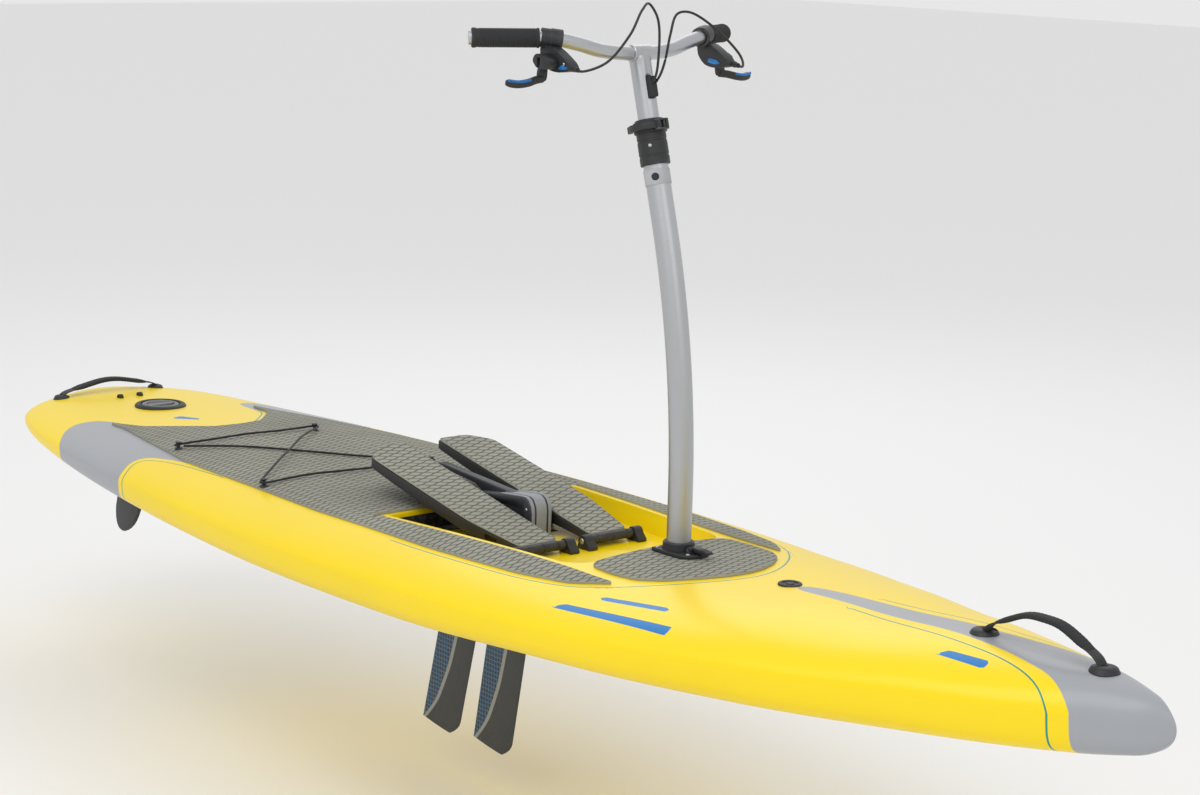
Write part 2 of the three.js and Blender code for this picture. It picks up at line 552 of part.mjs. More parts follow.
/** Elastic cord laced as a bow tie round the hooks; its second long run lies over the first. */
function makeElastic() {
  const points = [];
  const turn = ([x, y], from, to) => {
    for (const share of [0, 0.5, 1]) {
      const angle = (from + (to - from) * share) * RAD;
      points.push(vec(x + CORD.wrap * Math.cos(angle), y + CORD.wrap * Math.sin(angle), padTop(x, y) + 9));
    }
  };
  const run = ([xa, ya], [xb, yb], lift) => {
    for (const share of [0.25, 0.5, 0.75]) {
      const [x, y] = [xa + (xb - xa) * share, ya + (yb - ya) * share];
      points.push(vec(x, y, padTop(x, y) + CORD.radius + lift));
    }
  };
  const [a, b, c, d] = HOOKS;
  turn(a, -53, -189);
  run(a, b, 4);
  turn(b, 171, 44);
  run(b, c, 12);
  turn(c, 224, 354);
  run(c, d, 4);
  turn(d, -6, 127);
  run(d, a, 2.5);
  points.push(vec(a[0] + 14, a[1] + 4, padTop(...a) + 9));
  // Steps are shared out by point, not by length, so the tight turns keep their shape.
  const path = smooth(points);
  path.getPointAt = path.getPoint;
  path.getTangentAt = path.getTangent;
  return sweep(path, disc(CORD.radius, 5), 2 * (points.length - 1));
}

function makeHatchRing() {
  const { x, radius, cover } = HATCH;
  const base = 136;
  const profile = [[cover + 1, base], [radius, base], [radius, 149], [radius - 5, 153], [cover + 1, 153],
    [cover + 1, base]];
  const ring = new THREE.LatheGeometry(profile.map(([a, b]) => new THREE.Vector2(a, b)), 32);
  const body = solid(ring.rotateX(Math.PI / 2).translate(x, 0, 0));
  return body.subtract(deckForm(GAP));
}

function makeHatchCover() {
  const { x, cover, floor } = HATCH;
  const profile = [[0, floor + 20], [cover, floor + 20], [cover, 148], [cover - 4, 152], [0, 153.5]];
  const disk = new THREE.LatheGeometry(profile.map(([a, b]) => new THREE.Vector2(a, b)), 32);
  const body = solid(disk.rotateX(Math.PI / 2).translate(x, 0, 0));
  const recess = rod(vec(x, 0, 146), vec(x, 0, 160), 33, 33, 28);
  const bar = box(x - 5, x + 5, -31, 31, 140, 151.5);
  return join(body.subtract(recess), bar);
}

function makeVentPlug() {
  const { x, radius } = VENT;
  const cap = rod(vec(x, 0, 172), vec(x, 0, 181), radius, radius - 2, 24).subtract(deckForm(GAP));
  return join(cap, rod(vec(x, 0, 163), vec(x, 0, 179), radius - 6, radius - 6, 20));
}

/** Small eye for a leash: a block on the deck with a cross hole. */
function makeEye(y) {
  const z = deckAt(-1437, y);
  const block = box(-1446, -1428, y - 5, y + 5, z - 6, z + 9);
  const hole = rod(vec(-1437, y - 9, z + 4.2), vec(-1437, y + 9, z + 4.2), 2.6, 2.6, 12);
  return block.subtract(hole).subtract(deckForm(GAP));
}

/** The black plate on the deck round the column's foot. */
function makeBasePlate() {
  const plate = new THREE.Shape();
  plate.moveTo(452, -34);
  plate.lineTo(520, -34);
  plate.quadraticCurveTo(548, -24, 550, 0);
  plate.quadraticCurveTo(548, 24, 520, 34);
  plate.lineTo(452, 34);
  plate.closePath();
  const body = prism(plate, 168, 182);
  const boss = rod(vec(COLUMN.x, 0, 170), vec(COLUMN.x, 0, 196), 30, 28, 24);
  const lugs = [-12, 8].map((y) => box(521, 534, y, y + 4, 171, 192));
  const hole = rod(vec(COLUMN.x, 0, 100), vec(COLUMN.x, 0, 300), COLUMN.radius + GAP, COLUMN.radius + GAP, 28);
  const pin = rod(vec(528, -40, 188), vec(528, 40, 188), 2.3, 2.3, 12);
  return join(body, boss, ...lugs).subtract(deckForm(PAD + 2 * GAP)).subtract(hole).subtract(pin);
}

/** Toggle that locks the column down, hinged between the plate's lugs. */
function makeColumnLatch() {
  const side = outline([[524, 186], [529, 184.5], [566, 185], [572, 189], [566, 192], [532, 193], [525, 192]]);
  const blade = crossPrism(side, -7, 7);
  const pin = rod(vec(528, -12, 188), vec(528, 12, 188), 2, 2, 12);
  return join(blade, pin);
}

/** Turn-button that keeps the drive down in its well, on a stud at the well's edge. */
function makeDriveLatch(side) {
  const [x, y] = [12, side * 88];
  const knob = rod(vec(x, y, RECESS.floor + GAP), vec(x, y, RECESS.floor + 10), 9, 8, 20);
  const bar = box(x - 28, x + 8, y - 5, y + 5, RECESS.floor + 3, RECESS.floor + 9);
  return join(knob, bar);
}

function makeBearing() {
  const { x, bearingRadius } = RUDDER;
  const tube = rod(vec(x, 0, 52), vec(x, 0, 108), bearingRadius, bearingRadius, 24);
  return tube.subtract(rod(vec(x, 0, 30), vec(x, 0, 94), 6 + GAP, 6 + GAP, 20));
}

// ---------------------------------------------------------------- the scene

const LOOKS = {
  paint: ["#f5d800", 0.28, 0],
  foam: ["#6c6d66", 0.95, 0],
  black: ["#1c1d1f", 0.6, 0],
  satin: ["#c4c6c8", 0.35, 0.9],
  label: ["#b9bcc0", 0.6, 0.2],
  strap: ["#202124", 0.9, 0],
  rubber: ["#26272a", 0.85, 0],
  cord: ["#151517", 0.75, 0],
  frame: ["#2b2d30", 0.6, 0],
  fin: ["#2f3338", 0.5, 0],
  steel: ["#9fa3a6", 0.3, 1],
  lens: ["#85878a", 0.4, 0],
};

const board = new THREE.Group();
board.position.set(-ORIGIN.x, 0, -ORIGIN.z);

function put(name, look, body) {
  const [color, roughness, metalness] = LOOKS[look];
  const mesh = new THREE.Mesh(geometryOf(body), new THREE.MeshStandardMaterial({ color, roughness, metalness }));
  mesh.name = name;
  board.add(mesh);
}

const SIDES = [["starboard", -1], ["port", 1]];

put("hull", "paint", makeHull());

// Deck padding: outer edge from the tail to the strip's tip, then back along the recess.
put("main_deck_pad", "foam", makePad(mirrored([[-960, 0], [-972, -60], [-1030, -110], [-1100, -163], [-1205, -188],
  [-1130, -194], [-1000, -222], [-758, -265], [-577, -276], [-234, -296], [38, -295], [131, -294], [250, -286],
  [368, -274], [477, -250], [548, -203], [500, -203], [420, -202], [300, -209], [106, -229], [-85, -246],
  [-124, -240], [-122, 0]])));
const bowPad = makePad(mirrored([[434, 0], [434, -150], [448, -168], [505, -172], [560, -166],
  [604, -138], [641, -90], [664, -44], [672, 0]]));
put("bow_deck_pad", "foam",
  bowPad.subtract(rod(vec(COLUMN.x, 0, 100), vec(COLUMN.x, 0, 300), COLUMN.radius + 3, COLUMN.radius + 3, 24)));

put("hatch_ring", "black", makeHatchRing());
put("hatch_cover", "lens", makeHatchCover());
put("vent_plug", "black", makeVentPlug());
put("leash_eye_starboard", "black", makeEye(-26));
put("leash_eye_port", "black", makeEye(26));

const BOW_HANDLE = { aft: [1217, 0], front: [1459, 0], rise: 36 };
const bowEnd = ([x, y]) => vec(x, y, deckAt(x, y) + 17);
put("bow_handle_strap", "strap",
  makeStrap(bowEnd([1230, 0]), bowEnd([1446, 0]), BOW_HANDLE.rise, 24, 5));
put("bow_handle_cap_aft", "black", makeStrapCap(...BOW_HANDLE.aft, 25, 12));
put("bow_handle_cap_front", "black", makeStrapCap(...BOW_HANDLE.front, 25, 12));

const sternEnd = (y) => vec(-1534, y, deckAt(-1534, y) + 12);
put("stern_handle_strap", "strap", makeStrap(sternEnd(-116), sternEnd(116), 18, 24, 5));
put("stern_handle_cap_starboard", "black", makeStrapCap(-1534, -126, 20, 12));
put("stern_handle_cap_port", "black", makeStrapCap(-1534, 126, 20, 12));

HOOKS.forEach((place, i) => put(`cord_hook_${i + 1}`, "black", makeHook(place)));
put("elastic_cord", "cord", makeElastic());

put("column_base_plate", "black", makeBasePlate());
put("column_latch", "black", makeColumnLatch());
put("column_lower", "satin", makeColumn());
put("column_band", "label", band(72, 100, COLUMN.radius + 1.3, COLUMN.radius + GAP));
put("height_collar", "black", makeCollar());
put("height_lever", "black", makeHeightLever());

put("drive_frame", "frame", makeDriveFrame());
put("rocker_shaft", "steel", rod(vec(ROCKER.x, -50, ROCKER.z), vec(ROCKER.x, 50, ROCKER.z), 8, 8, 24));
put("fin_shaft", "steel", rod(vec(-190, 0, FIN.pivotZ), vec(97, 0, FIN.pivotZ), 5, 5, 20));
for (const [name, place] of [["fin_front", FIN_FRONT], ["fin_rear", FIN_REAR]]) {
  const { blade, hub } = makeFin(place);
  put(`${name}_blade`, "fin", blade);
  put(`${name}_hub`, "frame", hub);
}
for (const [name, side] of SIDES) {
  const { axleX: x, axleZ: z, axleRadius } = PEDAL;
  const bracket = (a, b) => makeAxleBracket(Math.min(side * a, side * b), Math.max(side * a, side * b));
  put(`pedal_tray_${name}`, "black", makePedalTray(side));
  put(`pedal_tread_${name}`, "foam", makePedalTread(side));
  put(`pedal_axle_${name}`, "steel", rod(vec(x, side * 10, z), vec(x, side * 158, z), axleRadius, axleRadius, 24));
  put(`axle_bracket_inner_${name}`, "black", bracket(12, 33));
  put(`axle_bracket_outer_${name}`, "black", bracket(136, 156));
  put(`rocker_${name}`, "frame", makeRocker(side));
  put(`drive_latch_${name}`, "black", makeDriveLatch(side));
}

put("rudder_bearing", "black", makeBearing());
put("rudder", "frame", makeRudder());

put("handlebar", "satin", makeHandlebar());
put("stem", "satin", makeStem());
const cables = [];
for (const [name, side] of SIDES) {
  const cable = makeCable(side);
  cables.push(sweep(cablePath(side), disc(2.3 + GAP, 5), 26));
  put(`grip_${name}`, "rubber", makeGrip(side));
  put(`lever_housing_${name}`, "black", makeLeverHousing(side));
  put(`brake_lever_${name}`, "black", makeBrakeLever(side));
  put(`cable_${name}`, "cord", cable);
}
put("cable_grommet", "rubber", makeGrommet(cables));

const scene = new THREE.Group();
scene.add(board);
export default scene;
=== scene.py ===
"""Pedal board: the looks of the board, its drive, pedals, column and handlebar.

Every size here is given on the board itself: metres along from amidships, across from the
centreline and up from the lowest point of the hull. `place` moves such a point to the frame,
whose origin is on the keel face 150 mm forward of amidships. The shapes' own sizes and
places are in millimetres where nothing else is said.
"""

import logging
from dataclasses import dataclass, field
from enum import Enum
from math import asin, copysign, cos, pi, radians, sin, sqrt, tan
from typing import Callable, Iterable, Sequence

import bmesh
import bpy
import numpy as np
from mathutils import Matrix, Vector

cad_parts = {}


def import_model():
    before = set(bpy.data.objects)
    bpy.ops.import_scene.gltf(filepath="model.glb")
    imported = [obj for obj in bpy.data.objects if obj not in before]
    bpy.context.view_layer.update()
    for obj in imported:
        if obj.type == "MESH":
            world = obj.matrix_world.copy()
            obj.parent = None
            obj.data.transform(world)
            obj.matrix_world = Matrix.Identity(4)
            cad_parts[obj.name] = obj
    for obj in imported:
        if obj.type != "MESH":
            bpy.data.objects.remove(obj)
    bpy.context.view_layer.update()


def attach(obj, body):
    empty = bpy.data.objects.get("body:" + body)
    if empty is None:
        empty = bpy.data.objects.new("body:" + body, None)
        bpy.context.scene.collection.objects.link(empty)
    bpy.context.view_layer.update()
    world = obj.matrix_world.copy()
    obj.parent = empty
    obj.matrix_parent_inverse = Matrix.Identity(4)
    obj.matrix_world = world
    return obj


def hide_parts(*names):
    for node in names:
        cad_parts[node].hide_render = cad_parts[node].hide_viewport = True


LOG = logging.getLogger("pedal_board")
ORIGIN = np.array((0.150, 0.0, 0.010))
Point = tuple[float, float, float]
Colour = tuple[float, float, float]
Corners = Sequence[tuple[float, float]]
Piece = bpy.types.Object
Pieces = list[Piece]
Material = bpy.types.Material
Socket = bpy.types.NodeSocket


def place(points: np.ndarray | Sequence[float]) -> np.ndarray:
    """Moves one point or an array of points, in metres on the board, to the frame."""
    return np.asarray(points, float) - ORIGIN


def srgb(red: int, green: int, blue: int) -> Colour:
    """Turns a display colour, each part 0 to 255, into scene-linear values."""
    parts = [v / 255.0 for v in (red, green, blue)]
    return tuple(v / 12.92 if v <= 0.04045 else ((v + 0.055) / 1.055) ** 2.4 for v in parts)


class Side(Enum):
    """The two sides of the board and their sign along Y."""

    STARBOARD = -1
    PORT = 1

    @property
    def label(self) -> str:
        """The side's word in node names."""
        return self.name.lower()

    def span(self, first: float, last: float) -> list[float]:
        """Two places across on this side, the lower first."""
        return sorted((self.value * first, self.value * last))


# --- shader tools


class Graph:
    """A node tree with short ways to add and join nodes."""

    def __init__(self, tree: bpy.types.NodeTree, family: str = "ShaderNode") -> None:
        """Keeps the tree to add to and the start of its nodes' type names."""
        self.tree = tree
        self.family = family

    def add(self, kind: str, inputs: dict | None = None, **settings: object) -> bpy.types.Node:
        """Adds a node.

        Args:
            kind: The node's type name, without the tree's family.
            inputs: Socket name or number to a value or to a socket to join.
            settings: Properties to set on the node.

        Returns:
            The new node.
        """
        node = self.tree.nodes.new(kind if kind.startswith("NodeGroup") else self.family + kind)
        for key, value in settings.items():
            setattr(node, key, value)
        for key, value in (inputs or {}).items():
            if isinstance(value, Socket):
                self.tree.links.new(value, node.inputs[key])
            else:
                node.inputs[key].default_value = value
        return node

    def math(self, operation: str, a: object, b: object = 0.0, clamp: bool = False) -> Socket:
        """Adds one Math node for values or sockets a and b, kept between 0 and 1 on request."""
        return self.add("Math", {0: a, 1: b}, operation=operation, use_clamp=clamp).outputs[0]

    def step(self, value: object, low: float, high: float, start: float = 0.0, end: float = 1.0) -> Socket:
        """Maps a value smoothly from the range low to high to the range start to end."""
        return self.add("MapRange", {0: value, 1: low, 2: high, 3: start, 4: end},
            interpolation_type="SMOOTHSTEP").outputs[0]

    def use(self, tree: bpy.types.NodeTree, **inputs: object) -> bpy.types.bpy_prop_collection:
        """Adds a shared group with its inputs and gives its outputs."""
        return self.add("Group", inputs, node_tree=tree).outputs

    def mix(self, factor: object, a: object, b: object) -> Socket:
        """Mixes the colours a and b by a factor; the node's colour sockets are 6, 7 and, out, 2."""
        a, b = (colour if isinstance(colour, Socket) else (*colour, 1.0) for colour in (a, b))
        return self.add("Mix", {0: factor, 6: a, 7: b}, data_type="RGBA").outputs[2]

    def surface(self, colour: Socket, rough: Socket, height: Socket, depth: float, strength: float,
            **more: float) -> None:
        """Ends a material with a bump and one Principled shader.

        Args:
            colour: Base colour.
            rough: Roughness.
            height: Height for the bump.
            depth: Depth of the bump in metres.
            strength: Strength of the bump.
            more: Further inputs, with an underscore for each blank in their names.
        """
        bump = self.add("Bump", {"Height": height, "Distance": depth, "Strength": strength})
        inputs = {"Base Color": colour, "Roughness": rough, "Normal": bump.outputs[0]}
        inputs.update({key.replace("_", " "): value for key, value in more.items()})
        shader = self.add("BsdfPrincipled", inputs)
        self.add("OutputMaterial", {"Surface": shader.outputs[0]})


def make_group(name: str, inputs: dict, outputs: Sequence[str], build: Callable[[Graph, dict],
        dict]) -> bpy.types.NodeTree:
    """Makes a shader node group once.

    Args:
        name: The group's name.
        inputs: Default value of each input by name; none stands for a vector.
        outputs: Names of the float outputs.
        build: Adds the nodes, given the graph and the input sockets, and returns output sockets by name.

    Returns:
        The group's tree.
    """
    tree = bpy.data.node_groups.new(name, "ShaderNodeTree")
    for label, default in inputs.items():
        kind = "NodeSocketVector" if default is None else "NodeSocketFloat"
        socket = tree.interface.new_socket(label, in_out="INPUT", socket_type=kind)
        if default is not None:
            socket.default_value = default
    for label in outputs:
        tree.interface.new_socket(label, in_out="OUTPUT", socket_type="NodeSocketFloat")
    graph = Graph(tree)
    entry = graph.add("NodeGroupInput")
    results = build(graph, {s.name: s for s in entry.outputs if s.name})
    leave = graph.add("NodeGroupOutput")
    for label, socket in results.items():
        tree.links.new(socket, leave.inputs[label])
    return tree


class Effects:
    """Shader groups that several finishes share."""

    def __init__(self) -> None:
        """Builds every group."""
        self.grain = make_group("surface_grain", {"Position": None, "Scale": 200.0, "Patch": 6.0},
            ["Grain", "Patches"], self._grain)
        self.wear = make_group("edge_wear", {"Position": None, "Amount": 0.5}, ["Mask"], self._wear)
        self.grooves = make_group("diamond_grooves", {"Position": None, "Pitch": 0.016, "Wave": 0.044,
            "Swing": 0.0038}, ["Groove"], self._grooves)
        self.mesh = make_group("hex_mesh", {"Position": None, "Scale": 110.0}, ["Cells"], self._mesh)
        self.weave = make_group("braid_weave", {"Across": 0.0, "Along": 0.0}, ["Weave"], self._weave)

    @staticmethod
    def _grain(g: Graph, i: dict) -> dict:
        """Fine grain and broad uneven patches."""
        fine = g.add("TexNoise", {"Vector": i["Position"], "Scale": i["Scale"], "Detail": 4.0})
        broad = g.add("TexNoise", {"Vector": i["Position"], "Scale": i["Patch"], "Detail": 3.0})
        return {"Grain": fine.outputs[0], "Patches": broad.outputs[0]}

    @staticmethod
    def _wear(g: Graph, i: dict) -> dict:
        """Worn convex edges, broken up by noise."""
        edge = g.add("NewGeometry").outputs["Pointiness"]
        sharp = g.step(edge, 0.53, 0.62)
        noise = g.add("TexNoise", {"Vector": i["Position"], "Scale": 90.0, "Detail": 3.0}).outputs[0]
        broken = g.step(noise, 0.42, 0.62)
        return {"Mask": g.math("MULTIPLY", g.math("MULTIPLY", sharp, broken), i["Amount"], True)}

    @staticmethod
    def _grooves(g: Graph, i: dict) -> dict:
        """Two families of wavy grooves across the board that meet in long diamonds."""
        parts = g.add("SeparateXYZ", {0: i["Position"]}).outputs
        turn = g.math("MULTIPLY", g.math("DIVIDE", parts[1], i["Wave"]), 2 * pi)
        swing = g.math("MULTIPLY", g.math("SINE", turn), i["Swing"])
        masks = []
        for sign in (1.0, -1.0):
            moved = g.math("ADD", parts[0], g.math("MULTIPLY", swing, sign))
            shifted = g.math("ADD", g.math("DIVIDE", moved, i["Pitch"]), 400.0 + 0.25 * (1 - sign))
            away = g.math("ABSOLUTE", g.math("SUBTRACT", g.math("FRACT", shifted), 0.5))
            masks.append(g.step(away, 0.03, 0.15, 1.0, 0.0))
        return {"Groove": g.math("MAXIMUM", masks[0], masks[1])}

    @staticmethod
    def _mesh(g: Graph, i: dict) -> dict:
        """Bright hexagon-like cells with dark lines between them."""
        cells = g.add("TexVoronoi", {"Vector": i["Position"], "Scale": i["Scale"], "Randomness": 0.15})
        cells.feature = "DISTANCE_TO_EDGE"
        return {"Cells": g.step(cells.outputs["Distance"], 0.06, 0.14)}

    @staticmethod
    def _weave(g: Graph, i: dict) -> dict:
        """A two-strand weave from places across and along a cord or strap."""
        a = g.math("SINE", g.math("ADD", i["Across"], i["Along"]))
        b = g.math("SINE", g.math("SUBTRACT", i["Across"], i["Along"]))
        return {"Weave": g.math("ABSOLUTE", g.math("MULTIPLY", a, b))}


@dataclass(frozen=True)
class Coating:
    """What every finish shares: a name, and how its material is begun."""

    name: str

    def make(self, effects: Effects) -> Material:
        """Builds the material.

        Args:
            effects: The shared shader groups.

        Returns:
            The material.
        """
        material = bpy.data.materials.new(self.name)
        material.use_nodes = True
        material.node_tree.nodes.clear()
        g = Graph(material.node_tree)
        self.draw(g, effects, g.add("TexCoord").outputs["Object"])
        return material


@dataclass(frozen=True)
class Finish(Coating):
    """A moulded, rubber or metal finish with grain, uneven gloss and worn edges."""

    colour: Colour
    roughness: float
    metallic: float = 0.0
    grain: float = 400.0
    depth: float = 0.00008
    worn: float = 0.35
    worn_colour: Colour = (0.25, 0.25, 0.26)
    stretch: Point = (1.0, 1.0, 1.0)
    variation: float = 0.12

    def draw(self, g: Graph, effects: Effects, where: Socket) -> None:
        """Adds the nodes of grain and wear.

        Args:
            g: The material's graph.
            effects: The shared shader groups.
            where: Object coordinates.
        """
        drawn = g.add("Mapping", {"Vector": where, "Scale": self.stretch}).outputs[0]
        grain = g.use(effects.grain, Position=drawn, Scale=self.grain)
        wear = g.use(effects.wear, Position=where, Amount=self.worn)
        dark = tuple(c * (1 - self.variation) for c in self.colour)
        light = tuple(min(1.0, c * (1 + self.variation)) for c in self.colour)
        base = g.mix(g.step(grain["Patches"], 0.35, 0.65), dark, light)
        colour = g.mix(wear["Mask"], base, self.worn_colour)
        rough = g.step(grain["Grain"], 0.3, 0.7, max(0.02, self.roughness - 0.06),
            min(1, self.roughness + 0.07))
        g.surface(colour, rough, grain["Grain"], self.depth, 0.6, Metallic=self.metallic)


@dataclass(frozen=True)
class FoamFinish(Coating):
    """Matt grooved foam, with a faint fleck and painted shade in its grooves."""

    name: str = "grooved_foam"
    colour: Colour = srgb(158, 158, 146)
    # The groove colour is painted shade: the foam is drawn darker in its grooves.
    groove: Colour = srgb(98, 98, 90)
    pitch: float = 0.0163

    def draw(self, g: Graph, effects: Effects, where: Socket) -> None:
        """Adds the nodes of grooves, the painted shade in them and fleck.

        Args:
            g: The material's graph.
            effects: The shared shader groups.
            where: Object coordinates.
        """
        groove = g.use(effects.grooves, Position=where, Pitch=self.pitch)[0]
        grain = g.use(effects.grain, Position=where, Scale=900.0)
        up = g.add("SeparateXYZ", {0: g.add("NewGeometry").outputs["True Normal"]}).outputs[2]
        flat = g.step(up, 0.5, 0.8)
        mask = g.math("MULTIPLY", groove, flat)
        patch = g.mix(g.step(grain["Patches"], 0.3, 0.7), tuple(c * 0.93 for c in self.colour),
            tuple(c * 1.07 for c in self.colour))
        fleck = g.mix(g.step(grain["Grain"], 0.35, 0.7, 0.0, 0.35), patch,
            tuple(c * 0.72 for c in self.colour))
        # Painted shade: the grooves on upward faces take the darker groove colour.
        colour = g.mix(g.math("MULTIPLY", mask, 0.85), fleck, self.groove)
        height = g.math("ADD", g.math("MULTIPLY", mask, -1.0), g.math("MULTIPLY", grain["Grain"], 0.12))
        g.surface(colour, g.step(grain["Grain"], 0.3, 0.7, 0.86, 0.98), height, 0.0022, 0.9,
            Specular_IOR_Level=0.25)


@dataclass(frozen=True)
class HullPaint(Coating):
    """Gloss yellow with silver nose, stripe and tail bands, thin teal lines and plain blue bars."""

    name: str = "hull_paint"
    yellow: Colour = srgb(250, 218, 0)
    silver: Colour = srgb(160, 163, 168)
    teal: Colour = srgb(30, 140, 130)
    blue: Colour = srgb(0, 118, 190)
    black: Colour = srgb(24, 23, 20)
    lines: int = 5

    def draw(self, g: Graph, effects: Effects, where: Socket) -> None:
        """Adds the nodes that read the hull's paint attributes.

        Args:
            g: The material's graph.
            effects: The shared shader groups.
            where: Object coordinates.
        """
        grain = g.use(effects.grain, Position=where, Scale=420.0, Patch=3.0)

        def field_of(name: str) -> Socket:
            """Reads one of the hull's paint attributes."""
            return g.add("Attribute", attribute_name=name).outputs["Fac"]

        patches = g.step(grain["Patches"], 0.3, 0.7)
        yellow = g.mix(patches, tuple(c * 0.97 for c in self.yellow), self.yellow)
        silver = g.mix(patches, tuple(c * 0.94 for c in self.silver), self.silver)
        colour = g.mix(g.step(field_of("silver"), -0.0006, 0.0006), yellow, silver)
        near = g.step(field_of("line_near"), 0.013, 0.015, 1.0, 0.0)
        for k in range(self.lines):
            away = g.math("ABSOLUTE", field_of(f"line_{k}"))
            colour = g.mix(g.math("MULTIPLY", near, g.step(away, 0.0013, 0.0021, 1.0, 0.0)), colour,
                self.teal)
        colour = g.mix(g.step(field_of("marks"), -0.0005, 0.0005), colour, self.blue)
        well = g.step(field_of("well"), -0.0006, 0.0006)
        colour = g.mix(well, colour, self.black)
        rough = g.math("ADD", g.step(grain["Grain"], 0.3, 0.7, 0.3, 0.38), g.math("MULTIPLY", well, 0.3))
        g.surface(colour, rough, grain["Grain"], 0.000012, 0.3, Specular_IOR_Level=0.38, Coat_Weight=0.1,
            Coat_Roughness=0.15)


@dataclass(frozen=True)
class FinFinish(Coating):
    """Charcoal blade with a thin grey sweep line and a blue mesh panel on the trailing part."""

    charcoal: Colour = srgb(52, 56, 62)
    line: Colour = srgb(148, 150, 150)
    blue: Colour = srgb(34, 44, 62)
    web: Colour = srgb(62, 112, 158)

    def draw(self, g: Graph, effects: Effects, where: Socket) -> None:
        """Adds the nodes that read the blade's panel attribute.

        Args:
            g: The material's graph.
            effects: The shared shader groups.
            where: Object coordinates.
        """
        flat = g.add("Mapping", {"Vector": where, "Scale": (1.0, 0.0, 1.0)}).outputs[0]
        mesh = g.use(effects.mesh, Position=flat)[0]
        grain = g.use(effects.grain, Position=where)["Grain"]
        edge = g.add("Attribute", attribute_name="panel").outputs["Fac"]
        panel = g.mix(mesh, self.web, self.blue)
        colour = g.mix(g.step(edge, -0.0005, 0.0005), self.charcoal, self.line)
        inside = g.step(edge, 0.0095, 0.0105)
        colour = g.mix(inside, colour, panel)
        height = g.math("ADD", g.math("MULTIPLY", g.math("MULTIPLY", mesh, inside), 0.6),
            g.math("MULTIPLY", grain, 0.2))
        g.surface(colour, g.step(grain, 0.3, 0.7, 0.38, 0.5), height, 0.0006, 0.6)


@dataclass(frozen=True)
class WovenFinish(Coating):
    """A braided cord sleeve or a woven strap, drawn from the piece's own UV map."""

    colour: Colour
    across: float
    along: float
    depth: float = 0.0004

    def draw(self, g: Graph, effects: Effects, where: Socket) -> None:
        """Adds the nodes of the weave.

        Args:
            g: The material's graph.
            effects: The shared shader groups.
            where: Object coordinates.
        """
        uv = g.add("UVMap", uv_map="UVMap").outputs[0]
        parts = g.add("SeparateXYZ", {0: uv}).outputs
        turns, length = g.math("MULTIPLY", parts[0], self.across), g.math("MULTIPLY", parts[1], self.along)
        weave = g.use(effects.weave, Across=turns, Along=length)[0]
        grain = g.use(effects.grain, Position=where)
        base = g.mix(weave, tuple(c * 0.55 for c in self.colour), tuple(c * 1.4 for c in self.colour))
        colour = g.mix(g.step(grain["Patches"], 0.3, 0.7, 0.0, 0.25), base,
            tuple(c * 2.0 for c in self.colour))
        g.surface(colour, g.step(grain["Grain"], 0.3, 0.7, 0.72, 0.9), weave, self.depth, 0.8,
            Sheen_Weight=0.15)


# --- mesh tools


def table(rows: Corners) -> tuple[np.ndarray, np.ndarray, np.ndarray]:
    """Prepares a monotone cubic through a table of places and values.

    Args:
        rows: (place, value) rows.

    Returns:
        Places, values and tangents, in metres.
    """
    xs, ys = np.array(rows, float).T / 1000
    slopes = np.diff(ys) / np.diff(xs)
    tangents = np.empty_like(xs)
    tangents[0], tangents[-1] = slopes[0], slopes[-1]
    a, b = slopes[:-1], slopes[1:]
    total = np.where(np.abs(a + b) < 1e-12, 1.0, a + b)
    tangents[1:-1] = np.where(a * b <= 0, 0.0, 2 * a * b / total)
    return xs, ys, tangents


def along(curve: tuple[np.ndarray, np.ndarray, np.ndarray], x: np.ndarray | float) -> np.ndarray:
    """Reads a prepared table.

    Args:
        curve: The result of `table`.
        x: Places to read.

    Returns:
        The values there.
    """
    xs, ys, tangents = curve
    x = np.clip(x, xs[0], xs[-1])
    i = np.clip(np.searchsorted(xs, x, "right") - 1, 0, len(xs) - 2)
    width = xs[i + 1] - xs[i]
    t = (x - xs[i]) / width
    return ((2 * t**3 - 3 * t**2 + 1) * ys[i] + (t**3 - 2 * t**2 + t) * width * tangents[i]
        + (3 * t**2 - 2 * t**3) * ys[i + 1] + (t**3 - t**2) * width * tangents[i + 1])


